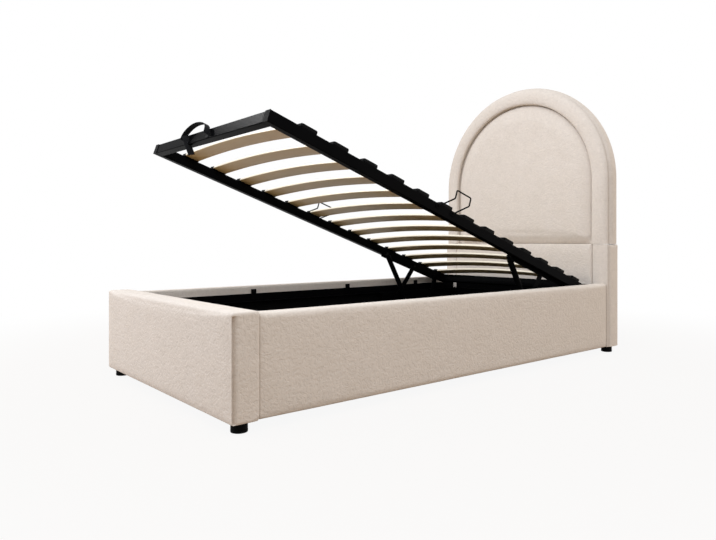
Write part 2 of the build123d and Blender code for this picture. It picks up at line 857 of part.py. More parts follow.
def make_struts():
    """Gas struts: a cylinder that hangs from the base and a rod that stands on the lower plate."""
    run_y = strut_pivot_y - strut_head_y
    run_z = strut_pivot_z - strut_head_z
    length = hypot(run_y, run_z)
    down = (0, run_y / length, run_z / length)
    up = (0, -run_y / length, -run_z / length)
    eye_bore = pin_diameter / 2 + pin_running_gap
    for name, side in sides:
        x = side * strut_x
        head = Plane(origin=(x, strut_head_y, strut_head_z), x_dir=(1, 0, 0), z_dir=down)
        foot = Plane(origin=(x, strut_pivot_y, strut_pivot_z), x_dir=(1, 0, 0), z_dir=up)
        with BuildPart() as cylinder:
            with BuildSketch(head.offset(strut_cap_start)):
                Circle(strut_cylinder_diameter / 2)
            extrude(amount=strut_cylinder_length - strut_cap_start)
            with BuildSketch(head.offset(strut_cap_start + strut_cap_thickness)):
                Circle(strut_bore_diameter / 2)
            extrude(amount=strut_cylinder_length, mode=Mode.SUBTRACT)
            with BuildSketch(head):
                Rectangle(strut_neck_width, strut_neck_width)
            extrude(amount=strut_cap_start)
            with BuildSketch(side_view(x)):
                with Locations((strut_head_y, strut_head_z)):
                    Circle(strut_eye_diameter / 2)
            extrude(amount=strut_eye_thickness / 2, both=True)
            with BuildSketch(side_view(x)):
                with Locations((strut_head_y, strut_head_z)):
                    Circle(eye_bore)
            extrude(amount=strut_eye_thickness, both=True, mode=Mode.SUBTRACT)
        finish(cylinder.part, f"strut_cylinder_{name}")

        with BuildPart() as rod:
            with BuildSketch(foot):
                Circle(pin_diameter / 2)
            extrude(amount=strut_rod_length)
            with BuildSketch(side_view(x)):
                with Locations((strut_pivot_y, strut_pivot_z)):
                    Circle(strut_eye_diameter / 2)
            extrude(amount=strut_eye_thickness / 2, both=True)
            with BuildSketch(side_view(x)):
                with Locations((strut_pivot_y, strut_pivot_z)):
                    Circle(eye_bore)
            extrude(amount=strut_eye_thickness, both=True, mode=Mode.SUBTRACT)
        finish(rod.part, f"strut_rod_{name}")


def make_pull_strap():
    """Webbing pull strap over the foot tube, with a flat tab at each end on the tube's face."""
    half = strap_span / 2
    tab_low = -strap_tab_top - strap_tab_height
    with BuildPart() as strap:
        with BuildSketch(base_section(-strap_thickness)):
            with BuildLine():
                outer = ThreePointArc(
                    (strap_centre - half, tab_low), (strap_centre, strap_rise), (strap_centre + half, tab_low)
                )
                inner = ThreePointArc(
                    (strap_centre - half + strap_thickness, tab_low),
                    (strap_centre, strap_rise - strap_thickness),
                    (strap_centre + half - strap_thickness, tab_low),
                )
                Line(outer @ 0, inner @ 0)
                Line(outer @ 1, inner @ 1)
            make_face()
        extrude(amount=strap_width)
        with BuildSketch(base_section(-strap_face_gap)):
            with Locations(
                (strap_centre - half + strap_tab_width / 2, (tab_low - strap_tab_top) / 2),
                (strap_centre + half - strap_tab_width / 2, (tab_low - strap_tab_top) / 2),
            ):
                Rectangle(strap_tab_width, strap_tab_height)
        extrude(amount=strap_thickness)
        near = -strap_face_gap
        under = -tube_depth - strap_face_gap
        end = (strap_tail_length + strap_tail_run, under - strap_tail_drop)
        with BuildSketch(base_side(strap_centre - half)):
            with BuildLine():
                Polyline(
                    (near, tab_low),
                    (near, under),
                    (strap_tail_length, under),
                    (end[0], end[1]),
                    (end[0] - strap_thickness, end[1] - strap_thickness),
                    (strap_tail_length - strap_thickness, under - strap_thickness),
                    (near - strap_thickness, under - strap_thickness),
                    (near - strap_thickness, tab_low),
                    close=True,
                )
            make_face()
        extrude(amount=strap_width)
    finish(strap.part, "pull_strap")

    with BuildPart() as screws:
        with BuildSketch(base_section(-strap_face_gap - strap_thickness)):
            with Locations(
                (strap_centre - half + strap_tab_width / 2, (tab_low - strap_tab_top) / 2),
                (strap_centre + half - strap_tab_width / 2, (tab_low - strap_tab_top) / 2),
            ):
                RegularPolygon(screw_head_diameter / 2, hex_sides, major_radius=False)
        extrude(amount=screw_head_height)
    finish(screws.part, "strap_screws")


def make_hoops():
    """Bent wire hoops on the outer faces of the side tubes that stop the mattress sliding sideways."""
    wire_x = base_half_width + hoop_pad_thickness + hoop_wire_diameter / 2 - hoop_wire_sink
    last = hoop_first + hoop_span
    for name, side in sides:
        with BuildPart() as hoop:
            with BuildLine(base_side(side * wire_x)) as path:
                Polyline(
                    (hoop_first, -hoop_foot_depth),
                    (hoop_first + hoop_lean, hoop_shoulder),
                    (hoop_first + hoop_lean, hoop_top),
                    (last + hoop_lean, hoop_top),
                    (last + hoop_lean, hoop_shoulder),
                    (last, -hoop_foot_depth),
                )
            wire = path.wire()
            with BuildSketch(Plane(origin=wire @ 0, z_dir=wire % 0)):
                RegularPolygon(hoop_wire_diameter / 2, hoop_wire_sides)
            sweep(path=wire, transition=Transition.RIGHT)
            with BuildSketch(base_side(side * base_half_width)):
                with Locations((hoop_first, -hoop_foot_depth), (last, -hoop_foot_depth)):
                    Rectangle(hoop_pad_length, hoop_pad_height)
            extrude(amount=side * hoop_pad_thickness)
        finish(hoop.part, f"mattress_hoop_{name}")


os.makedirs("parts", exist_ok=True)
make_footboard()
make_side_rails()
make_headboard_base()
make_headboard_arch()
make_feet()
make_chassis()
make_rail_brackets()
make_storage_box()
make_base_plates()
make_base_pins()
make_base_frame()
make_tube_caps()
make_slats()
make_slat_holders()
make_hinge_plates()
make_top_pins()
make_arms()
make_struts()
make_pull_strap()
make_hoops()
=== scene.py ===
import json
from math import cos, exp, hypot, pi, radians, sin, tanh

import bmesh
import bpy
from mathutils import Matrix, Vector, noise


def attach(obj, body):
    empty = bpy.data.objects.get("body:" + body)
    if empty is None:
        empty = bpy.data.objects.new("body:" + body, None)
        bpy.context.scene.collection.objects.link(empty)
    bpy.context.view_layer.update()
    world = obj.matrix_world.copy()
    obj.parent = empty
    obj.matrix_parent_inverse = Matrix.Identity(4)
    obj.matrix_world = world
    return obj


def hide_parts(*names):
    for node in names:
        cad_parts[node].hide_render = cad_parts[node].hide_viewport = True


# Single ottoman storage bed, standing open: padded box, arched headboard and a raised slatted base.
# Metres. X across the bed, +Y from foot to head, +Z up.
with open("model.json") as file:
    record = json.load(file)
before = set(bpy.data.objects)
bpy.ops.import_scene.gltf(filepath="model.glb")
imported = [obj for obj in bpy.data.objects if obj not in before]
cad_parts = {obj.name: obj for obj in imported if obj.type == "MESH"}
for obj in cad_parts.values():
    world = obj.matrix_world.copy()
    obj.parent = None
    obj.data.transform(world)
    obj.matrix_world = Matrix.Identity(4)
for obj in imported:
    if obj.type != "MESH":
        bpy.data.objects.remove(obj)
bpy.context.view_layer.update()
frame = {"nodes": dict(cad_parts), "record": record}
scene = bpy.context.scene
mm = 0.001

# Raised base: its foot end, and the turn that lays its own X, length and height into the room
base_tilt = radians(19.1)
base_foot_end = Vector((0, -884.0275, 938.9741)) * mm
raise_base = Matrix.Translation(base_foot_end) @ Matrix.Rotation(-base_tilt, 4, "X")

# Padded box: its underside, the tops of its sides, and how far up the box is lined inside
box_bottom = 0.030
rail_top = 0.337
footboard_top = 0.343
lined_height = 0.345
# the covers are stapled underneath, up to this height
stapled_height = 0.036

# Headboard: front and back of its lower part, and its arch
headboard_front = 0.9535
headboard_back = 1.056
headboard_low_top = 0.5285
arch_centre_z = 851 * mm
arch_foot_z = 529 * mm

# Slats, counted from the foot end of the raised base
slat_count = 13
first_slat = 149 * mm
slat_pitch = 135.5 * mm
slat_width = 63 * mm
slat_thickness = 8 * mm
slat_crown = 20 * mm

# Pull strap: the middle of its loop across the bed, in millimetres, and the thickness of its webbing
strap_middle = -44
webbing_thickness = 1.9 * mm


# Shared helpers


def linear(colour):
    """Turns an sRGB hex colour into the linear colour that a shader reads."""
    parts = [int(colour[k : k + 2], 16) / 255 for k in (1, 3, 5)]
    return tuple(c / 12.92 if c <= 0.04045 else ((c + 0.055) / 1.055) ** 2.4 for c in parts) + (1.0,)


def add(tree, kind, inputs=None, **settings):
    """Adds one node with its settings and inputs: values, hex colours, and nodes or their outputs to link."""
    node = tree.nodes.new(kind)
    for name, value in settings.items():
        setattr(node, name, value)
    for name, value in (inputs or {}).items():
        if isinstance(value, bpy.types.Node):
            value = value.outputs[0]
        elif isinstance(value, str) and value.startswith("#"):
            value = linear(value)
        if isinstance(value, bpy.types.NodeSocket):
            tree.links.new(value, node.inputs[name])
        else:
            node.inputs[name].default_value = value
    return node


def start_finish(name, colour, roughness, **values):
    """Starts a material with one shader, and sets what is the same all over it."""
    material = bpy.data.materials.new(name)
    tree = empty_tree(material)
    surface = add(tree, "ShaderNodeBsdfPrincipled", {"Base Color": colour, "Roughness": roughness})
    for socket, value in values.items():
        surface.inputs[socket.replace("_", " ").title().replace("Ior", "IOR")].default_value = value
    add(tree, "ShaderNodeOutputMaterial", {"Surface": surface})
    return material, tree, surface


def feed(tree, surface, tone=None, gloss=None, relief=None):
    """Links the colour, the roughness and the relief of a finish to its shader."""
    for socket, source in (("Base Color", tone), ("Roughness", gloss), ("Normal", relief)):
        if source is not None:
            tree.links.new(source, surface.inputs[socket])


def put(name, data):
    """Puts an object with its data into the scene, at the origin."""
    thing = bpy.data.objects.new(name, data)
    scene.collection.objects.link(thing)
    return thing


def face_outwards(bm):
    """Turns every face of a closed shape to look out of it."""
    bmesh.ops.recalc_face_normals(bm, faces=bm.faces)


def empty_tree(owner):
    """The node tree of a material or the world, with nothing in it."""
    owner.use_nodes = True
    owner.node_tree.nodes.clear()
    return owner.node_tree


def new_piece(name, bm, sharp=None):
    """Turns a bmesh into a smooth object at the origin. Edges that turn by more than an angle stay sharp."""
    mesh = bpy.data.meshes.new(name)
    bm.to_mesh(mesh)
    bm.free()
    piece = put(name, mesh)
    mesh.shade_smooth()
    if sharp is not None:
        mesh.set_sharp_from_angle(angle=radians(sharp))
    return piece


def bake(piece):
    """Applies all modifiers of a piece, so that it is one plain mesh."""
    graph = bpy.context.evaluated_depsgraph_get()
    mesh = bpy.data.meshes.new_from_object(piece.evaluated_get(graph))
    piece.modifiers.clear()
    piece.data = mesh
    return piece


def place_piece(piece, slot, body, nodes):
    """Gives a finished piece its material and its body, and hides the CAD nodes that it stands for."""
    piece.data.materials.clear()
    piece.data.materials.append(finishes[slot])
    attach(piece, body)
    if nodes:
        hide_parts(*nodes)


def spread(low, high, margin, fine, coarse):
    """Places between two ends, close together near both ends and wider apart between them."""
    near = max(1, round(margin / fine))
    far = max(1, round((high - low - 2 * margin) / coarse))
    places = [low + margin * k / near for k in range(near)]
    places += [low + margin + (high - low - 2 * margin) * k / far for k in range(far)]
    return places + [high - margin + margin * k / near for k in range(near + 1)]


def grid_block(xs, ys, zs):
    """A closed block whose six sides are one joined grid of quads."""
    bm = bmesh.new()
    made = {}

    def at(i, j, k):
        if (i, j, k) not in made:
            made[i, j, k] = bm.verts.new((xs[i], ys[j], zs[k]))
        return made[i, j, k]

    far_x, far_y, far_z = len(xs) - 1, len(ys) - 1, len(zs) - 1
    for i in range(far_x):
        for j in range(far_y):
            bm.faces.new((at(i, j, 0), at(i, j + 1, 0), at(i + 1, j + 1, 0), at(i + 1, j, 0)))
            bm.faces.new((at(i, j, far_z), at(i + 1, j, far_z), at(i + 1, j + 1, far_z), at(i, j + 1, far_z)))
        for k in range(far_z):
            bm.faces.new((at(i, 0, k), at(i + 1, 0, k), at(i + 1, 0, k + 1), at(i, 0, k + 1)))
            bm.faces.new((at(i, far_y, k), at(i, far_y, k + 1), at(i + 1, far_y, k + 1), at(i + 1, far_y, k)))
    for j in range(far_y):
        for k in range(far_z):
            bm.faces.new((at(0, j, k), at(0, j, k + 1), at(0, j + 1, k + 1), at(0, j + 1, k)))
            bm.faces.new((at(far_x, j, k), at(far_x, j + 1, k), at(far_x, j + 1, k + 1), at(far_x, j, k + 1)))
    return bm


def join_rings(bm, rings):
    """Joins closed rings of points, one after the other, with quads."""
    count = len(rings[0])
    for here, there in zip(rings, rings[1:]):
        for k in range(count):
            after = (k + 1) % count
            bm.faces.new((here[k], here[after], there[after], there[k]))


def round_off(point, low, high, radii):
    """Moves a point of a block's surface to the same block with rounded edges, one radius for each axis."""
    inner = Vector([min(max(p, a + r), b - r) for p, a, b, r in zip(point, low, high, radii)])
    away = Vector([(p - q) / r for p, q, r in zip(point, inner, radii)])
    if away.length < 1e-9:
        return point
    away.normalize()
    return Vector([q + d * r for q, d, r in zip(inner, away, radii)])


def ease(value, start, end):
    """Rises smoothly from 0 at start to 1 at end."""
    share = min(max((value - start) / (end - start), 0), 1)
    return share * share * (3 - 2 * share)


def mirrored(piece, name):
    """A copy of a finished piece on the other side of the bed."""
    bm = bmesh.new()
    bm.from_mesh(piece.data)
    for vert in bm.verts:
        vert.co.x = -vert.co.x
    bmesh.ops.reverse_faces(bm, faces=bm.faces)
    return new_piece(name, bm)


# Finishes


def flat_place(tree, place):
    """Lays a place flat on the nearest of three planes, so that a mark keeps its shape on every side."""
    way = add(tree, "ShaderNodeNewGeometry").outputs["True Normal"]
    size = add(tree, "ShaderNodeVectorMath", {0: way}, operation="ABSOLUTE")
    facing = add(tree, "ShaderNodeSeparateXYZ", {0: size})
    at = add(tree, "ShaderNodeSeparateXYZ", {0: place})
    # past this share of its full size, a direction counts as the one that a face looks in
    most = 0.7
    sideways = add(tree, "ShaderNodeMath", {0: facing.outputs["X"], 1: most}, operation="GREATER_THAN")
    upward = add(tree, "ShaderNodeMath", {0: facing.outputs["Z"], 1: most}, operation="GREATER_THAN")
    across = add(tree, "ShaderNodeMix", {"Factor": sideways, "A": at.outputs["X"], "B": at.outputs["Y"]})
    along = add(tree, "ShaderNodeMix", {"Factor": upward, "A": at.outputs["Z"], "B": at.outputs["Y"]})
    return add(tree, "ShaderNodeCombineXYZ", {0: across, 1: along}).outputs[0]


def leaf_marks(tree, flat, cell_size, half_length, half_width):
    """One pointed leaf in each cell, turned its own way: its shape from 0 to 1, and a tone for each leaf."""
    cell = add(
        tree,
        "ShaderNodeTexVoronoi",
        {"Vector": flat, "Scale": 1 / cell_size, "Randomness": 0.85},
        voronoi_dimensions="2D",
    )
    off = add(tree, "ShaderNodeVectorMath", {0: flat, 1: cell.outputs["Position"]}, operation="SUBTRACT")
    tones = add(tree, "ShaderNodeSeparateColor", {0: cell.outputs["Color"]})
    angle = add(tree, "ShaderNodeMath", {0: tones, 1: 2 * pi}, operation="MULTIPLY")
    turned = add(tree, "ShaderNodeVectorRotate", {"Vector": off, "Angle": angle}, rotation_type="Z_AXIS")
    at = add(tree, "ShaderNodeSeparateXYZ", {0: turned})
    share = add(tree, "ShaderNodeMath", {0: at.outputs["X"], 1: half_length}, operation="DIVIDE")
    square = add(tree, "ShaderNodeMath", {0: share, 1: share}, operation="MULTIPLY")
    breadth = add(tree, "ShaderNodeMath", {0: 1.0, 1: square}, operation="SUBTRACT")
    side = add(tree, "ShaderNodeMath", {0: at.outputs["Y"]}, operation="ABSOLUTE")
    reach = add(tree, "ShaderNodeMath", {0: side, 1: half_width}, operation="DIVIDE")
    inside = add(tree, "ShaderNodeMath", {0: breadth, 1: reach}, operation="SUBTRACT")
    shape = add(
        tree,
        "ShaderNodeMapRange",
        {"Value": inside, "From Min": -0.1, "From Max": 0.35},
        interpolation_type="SMOOTHSTEP",
    )
    tone = add(tree, "ShaderNodeMath", {0: tones.outputs[1], 1: 0.5}, operation="SUBTRACT")
    return shape.outputs[0], tone.outputs[0]


def cream_chenille():
    """Cream chenille velour, woven: a matt warm pile with small pressed leaf marks that lie at every angle."""
    material, tree, surface = start_finish(
        "cream_chenille_velour", "#d8cdc1", 0.9, specular_ior_level=0.15,
        sheen_weight=0.25, sheen_roughness=0.45, sheen_tint=linear("#fff6ea"),
    )
    place = add(tree, "ShaderNodeTexCoord").outputs["Object"]
    # slow drift of tone over the cloth, in patches of about 80 mm
    drift = add(
        tree, "ShaderNodeTexNoise", {"Vector": place, "Scale": 1 / (80 * mm), "Detail": 3.0, "Roughness": 0.6}
    )
    # the pile's tufts are about 1 mm, drawn here at 3 mm so that they show
    tuft = add(
        tree, "ShaderNodeTexNoise", {"Vector": place, "Scale": 1 / (3 * mm), "Detail": 2.0, "Roughness": 0.7}
    )
    patches = add(tree, "ShaderNodeMix", {"Factor": drift, 6: "#d3c9be", 7: "#dad1c8"}, data_type="RGBA")
    # pressed leaves: large ones 26 mm long with small ones of 14 mm between them, some paler and some darker
    flat = flat_place(tree, place)
    large, large_tone = leaf_marks(tree, flat, 21 * mm, 13 * mm, 5 * mm)
    small, small_tone = leaf_marks(tree, flat, 11 * mm, 7 * mm, 2.8 * mm)
    large_shade = add(tree, "ShaderNodeMath", {0: large, 1: large_tone}, operation="MULTIPLY")
    small_shade = add(tree, "ShaderNodeMath", {0: small, 1: small_tone}, operation="MULTIPLY")
    shades = add(tree, "ShaderNodeMath", {0: large_shade, 1: small_shade}, operation="ADD")
    shade = add(
        tree,
        "ShaderNodeMapRange",
        {"Value": shades, "From Min": -0.5, "From Max": 0.5, "To Min": 0.945, "To Max": 1.035},
    )
    speck = add(
        tree,
        "ShaderNodeMapRange",
        {"Value": tuft, "From Min": 0.3, "From Max": 0.7, "To Min": 0.98, "To Max": 1.02},
    )
    both = add(tree, "ShaderNodeMath", {0: shade, 1: speck}, operation="MULTIPLY")
    toned = add(tree, "ShaderNodeVectorMath", {0: patches.outputs[2], "Scale": both}, operation="SCALE")
    tufts = add(tree, "ShaderNodeBump", {"Strength": 0.25, "Distance": 0.5 * mm, "Height": tuft})
    depth = add(tree, "ShaderNodeMath", {0: large, 1: small}, operation="ADD")
    pressed = add(
        tree,
        "ShaderNodeBump",
        {"Strength": 0.42, "Distance": 0.9 * mm, "Height": depth, "Normal": tufts},
        invert=True,
    )
    feed(tree, surface, tone=toned.outputs[0], relief=pressed.outputs[0])
    return material


def black_powder_coat():
    """Mild steel under black powder coat, baked: satin black with the faint orange peel of the melted powder."""
    material, tree, surface = start_finish(
        "powder_coated_steel_black", "#070708", 0.3, specular_ior_level=0.01
    )
    place = add(tree, "ShaderNodeTexCoord").outputs["Object"]
    # orange peel is about 1 mm across, drawn at 2.5 mm so that it shows
    peel = add(tree, "ShaderNodeTexNoise", {"Vector": place, "Scale": 1 / (2.5 * mm), "Detail": 2.0})
    patch = add(tree, "ShaderNodeTexNoise", {"Vector": place, "Scale": 1 / (90 * mm), "Detail": 3.0})
    gloss = add(tree, "ShaderNodeMapRange", {"Value": patch, "To Min": 0.26, "To Max": 0.36})
    tone = add(tree, "ShaderNodeMix", {"Factor": patch, 6: "#050506", 7: "#0b0b0c"}, data_type="RGBA")
    bump = add(tree, "ShaderNodeBump", {"Strength": 0.3, "Distance": 0.15 * mm, "Height": peel})
    feed(tree, surface, tone=tone.outputs[2], gloss=gloss.outputs[0], relief=bump.outputs[0])
    return material


def moulded_black(name, colour, roughness, grain):
    """Polypropylene of slat holders and feet, moulded: matt black, with the fine grain of its mould."""
    material, tree, surface = start_finish(name, colour, roughness, specular_ior_level=0.04)
    place = add(tree, "ShaderNodeTexCoord").outputs["Object"]
    pits = add(tree, "ShaderNodeTexVoronoi", {"Vector": place, "Scale": 1 / grain})
    scuff = add(tree, "ShaderNodeTexNoise", {"Vector": place, "Scale": 1 / (14 * mm), "Detail": 4.0})
    gloss = add(
        tree, "ShaderNodeMapRange", {"Value": scuff, "To Min": roughness - 0.08, "To Max": roughness + 0.1}
    )
    bump = add(
        tree, "ShaderNodeBump", {"Strength": 0.4, "Distance": 0.2 * mm, "Height": pits.outputs["Distance"]}
    )
    feed(tree, surface, gloss=gloss.outputs[0], relief=bump.outputs[0])
    return material


def birch_ply():
    """Bent birch ply, sliced, glued and clear coated: a pale tan face with long fine grain, and striped edges."""
    material, tree, surface = start_finish(
        "bent_birch_ply", "#d6c4a0", 0.45, coat_weight=0.15, coat_roughness=0.3
    )
    board = add(tree, "ShaderNodeAttribute", attribute_name="board")
    slat = add(tree, "ShaderNodeAttribute", attribute_name="tone")
    shift = add(
        tree, "ShaderNodeVectorMath", {0: (1.7, 0.9, 0.4), "Scale": slat.outputs["Fac"]}, operation="SCALE"
    )
    place = add(tree, "ShaderNodeVectorMath", {0: board.outputs["Vector"], 1: shift}, operation="ADD")
    # grain lines run along the slat, about 4 mm apart across it
    long_grain = add(
        tree, "ShaderNodeMapping", {"Vector": place, "Scale": (1 / (160 * mm), 1 / (4 * mm), 1 / (4 * mm))}
    )
    grain = add(
        tree, "ShaderNodeTexNoise", {"Vector": long_grain, "Scale": 1.0, "Detail": 4.0, "Roughness": 0.6}
    )
    wide = add(
        tree, "ShaderNodeMapping", {"Vector": place, "Scale": (1 / (420 * mm), 1 / (26 * mm), 1 / (26 * mm))}
    )
    figure = add(tree, "ShaderNodeTexNoise", {"Vector": wide, "Scale": 1.0, "Detail": 2.0})
    face = add(tree, "ShaderNodeMix", {"Factor": grain, 6: "#c8a96f", 7: "#e2cf9e"}, data_type="RGBA")
    figured = add(
        tree, "ShaderNodeMix", {"Factor": figure, 6: face.outputs[2], 7: "#d8b67c"}, data_type="RGBA"
    )
    # the veneers through the slat's thickness show on its edges as pale and darker lines, in pairs
    height = add(tree, "ShaderNodeSeparateXYZ", {0: board.outputs["Vector"]})
    pair = 2.3 * mm
    lines = add(tree, "ShaderNodeMath", {0: height.outputs["Z"], 1: 2 * pi / pair}, operation="MULTIPLY")
    ply = add(tree, "ShaderNodeMath", {0: lines}, operation="SINE")
    stripe = add(tree, "ShaderNodeMapRange", {"Value": ply, "From Min": -1.0, "To Min": 0.0, "To Max": 1.0})
    edge = add(tree, "ShaderNodeMix", {"Factor": stripe, 6: "#e3d6bb", 7: "#f0e8d5"}, data_type="RGBA")
    side = add(tree, "ShaderNodeMath", {0: height.outputs["Y"]}, operation="ABSOLUTE")
    on_edge = add(tree, "ShaderNodeMath", {0: side, 1: slat_width / 2 - 0.3 * mm}, operation="GREATER_THAN")
    whole = add(
        tree,
        "ShaderNodeMix",
        {"Factor": on_edge, 6: figured.outputs[2], 7: edge.outputs[2]},
        data_type="RGBA",
    )
    each = add(tree, "ShaderNodeMapRange", {"Value": slat.outputs["Fac"], "To Min": 0.93, "To Max": 1.04})
    toned = add(tree, "ShaderNodeVectorMath", {0: whole.outputs[2], "Scale": each}, operation="SCALE")
    bump = add(tree, "ShaderNodeBump", {"Strength": 0.25, "Distance": 0.2 * mm, "Height": grain})
    feed(tree, surface, tone=toned.outputs[0], relief=bump.outputs[0])
    return material


def bonded_lining():
    """Black bonded felt over thin board: dead matt, with short fibres pressed in every direction."""
    material, tree, surface = start_finish("bonded_felt_lining", "#070708", 0.95, specular_ior_level=0.1)
    place = add(tree, "ShaderNodeTexCoord").outputs["Object"]
    fibres = add(
        tree, "ShaderNodeTexNoise", {"Vector": place, "Scale": 1 / (4 * mm), "Detail": 5.0, "Distortion": 1.5}
    )
    tone = add(tree, "ShaderNodeMix", {"Factor": fibres, 6: "#040405", 7: "#0e0e0f"}, data_type="RGBA")
    bump = add(tree, "ShaderNodeBump", {"Strength": 0.4, "Distance": 0.4 * mm, "Height": fibres})
    feed(tree, surface, tone=tone.outputs[2], relief=bump.outputs[0])
    return material


def sawn_pine():
    """Plain pine, sawn: pale yellow wood with darker bands along the batten."""
    material, tree, surface = start_finish("sawn_pine", "#b9986a", 0.75)
    place = add(tree, "ShaderNodeTexCoord").outputs["Object"]
    along = add(
        tree, "ShaderNodeMapping", {"Vector": place, "Scale": (1 / (260 * mm), 1 / (7 * mm), 1 / (7 * mm))}
    )
    bands = add(tree, "ShaderNodeTexNoise", {"Vector": along, "Scale": 1.0, "Detail": 5.0})
    tone = add(tree, "ShaderNodeMix", {"Factor": bands, 6: "#9c7a4c", 7: "#cdb083"}, data_type="RGBA")
    bump = add(tree, "ShaderNodeBump", {"Strength": 0.4, "Distance": 0.3 * mm, "Height": bands})
    feed(tree, surface, tone=tone.outputs[2], relief=bump.outputs[0])
    return material


def black_webbing():
    """Polypropylene webbing, woven flat: black ribs across the strap with a slight sheen on the yarn."""
    material, tree, surface = start_finish(
        "woven_webbing_black", "#0a0a0b", 0.7, sheen_weight=0.03, specular_ior_level=0.1
    )
    place = add(tree, "ShaderNodeUVMap", uv_map="weave")
    # ribs about 2 mm apart along the strap, and yarns about 1.2 mm apart across it
    wave_scale = 1 / 6.28
    ribs = add(
        tree,
        "ShaderNodeTexWave",
        {"Vector": place, "Scale": wave_scale / (2 * mm), "Distortion": 0.4},
        bands_direction="X",
    )
    yarns = add(
        tree,
        "ShaderNodeTexWave",
        {"Vector": place, "Scale": wave_scale / (1.2 * mm), "Distortion": 0.2},
        bands_direction="Y",
    )
    weave = add(tree, "ShaderNodeMath", {0: ribs.outputs["Fac"], 1: yarns.outputs["Fac"]}, operation="ADD")
    tone = add(
        tree, "ShaderNodeMix", {"Factor": ribs.outputs["Fac"], 6: "#050506", 7: "#101012"}, data_type="RGBA"
    )
    bump = add(tree, "ShaderNodeBump", {"Strength": 0.5, "Distance": 0.4 * mm, "Height": weave})
    feed(tree, surface, tone=tone.outputs[2], relief=bump.outputs[0])
    return material


def black_zinc():
    """Steel screws and pins under black zinc: near black metal with a faint cloudy passivated tint."""
    material, tree, surface = start_finish("black_zinc_plate", "#1b1c1e", 0.36, metallic=1.0)
    place = add(tree, "ShaderNodeTexCoord").outputs["Object"]
    cloud = add(tree, "ShaderNodeTexNoise", {"Vector": place, "Scale": 1 / (3 * mm), "Detail": 3.0})
    tone = add(tree, "ShaderNodeMix", {"Factor": cloud, 6: "#151618", 7: "#242526"}, data_type="RGBA")
    gloss = add(tree, "ShaderNodeMapRange", {"Value": cloud, "To Min": 0.22, "To Max": 0.42})
    feed(tree, surface, tone=tone.outputs[2], gloss=gloss.outputs[0])
    return material


def chromed_rod():
    """Hard chromed piston rod, ground and polished: a clean mirror with fine rings round it."""
    material, tree, surface = start_finish("hard_chromed_rod", "#c9cbce", 0.1, metallic=1.0)
    place = add(tree, "ShaderNodeTexCoord").outputs["Object"]
    rings = add(
        tree, "ShaderNodeMapping", {"Vector": place, "Scale": (1 / (30 * mm), 1 / (2 * mm), 1 / (2 * mm))}
    )
    fine = add(tree, "ShaderNodeTexNoise", {"Vector": rings, "Scale": 1.0, "Detail": 2.0})
    gloss = add(tree, "ShaderNodeMapRange", {"Value": fine, "To Min": 0.06, "To Max": 0.18})
    feed(tree, surface, gloss=gloss.outputs[0])
    return material


finishes = {
    "upholstery": cream_chenille(),
    "black_steel": black_powder_coat(),
    "birch": birch_ply(),
    "black_plastic": moulded_black("moulded_polypropylene_black", "#080809", 0.55, 1.6 * mm),
    "foot_plastic": moulded_black("moulded_foot_plastic_black", "#060606", 0.6, 2.2 * mm),
    "black_lining": bonded_lining(),
    "batten_wood": sawn_pine(),
    "black_webbing": black_webbing(),
    "zinc_screw": black_zinc(),
    "chromed_rod": chromed_rod(),
}
for part in frame["record"]["subparts"]:
    node = frame["nodes"][part["node"]]
    node.data.materials.clear()
    node.data.materials.append(finishes[part["material_slot"]])


# Padded covers

covers = []


def cover(name, bm, held, cap, nodes, fill):
    """Keeps one padded cover, and the points where its cloth is stapled or sewn, to be blown up later."""
    covers.append({"piece": new_piece(name, bm), "held": held, "cap": cap, "nodes": nodes, "fill": fill})


def footboard_cover():
    """Footboard: a wrapped front and top, with a sewn-on pad at each end behind a seam round the corner."""
    low, high = Vector((-0.525, -1.0545, box_bottom)), Vector((0.525, -0.9665, footboard_top))
    bm = grid_block(
        spread(low.x, high.x, 0.012, 0.003, 0.014),
        spread(low.y, high.y, 0.030, 0.0025, 0.009),
        spread(low.z, high.z, 0.024, 0.0025, 0.012),
    )
    seam_y, seam_z = low.y + 0.0062, high.z - 0.013
    seam_depth, seam_width = 0.0125, 0.0054
    pad_bulge, corner_drop = 0.0022, 0.010
    for vert in bm.verts:
        end_face = abs(vert.co.x) > high.x - 0.0001
        y, z = vert.co.y, vert.co.z
        vert.co = round_off(vert.co, low, high, (0.006, 0.007, 0.010))
        if not end_face:
            continue
        # how far the seam and the pad's bulge stand back from the end of the wrapped cover
        below_seam = 1 - ease(z, seam_z - 0.002, seam_z + 0.004)
        upright = seam_depth * exp(-(((y - seam_y) / seam_width) ** 2)) * below_seam
        inner = ease(y, seam_y, seam_y + 0.030) * (1 - ease(z, seam_z - 0.012, seam_z))
        pad = pad_bulge * (1 - inner) * (1 - ease(z, seam_z - 0.024, seam_z)) if y > seam_y else 0.0
        # the pad turns up at its lower back corner
        drop = corner_drop * ease(y, high.y - 0.018, high.y) * (1 - ease(z, low.z, low.z + 0.022))
        vert.co.x -= (1 if vert.co.x > 0 else -1) * (upright + pad)
        vert.co.z += drop
    held = lambda p: p.y > -0.975 or p.z < stapled_height or abs(p.x) > 0.508
    cover("footboard_cover", bm, held, 0.003, ["footboard"], 0.9)


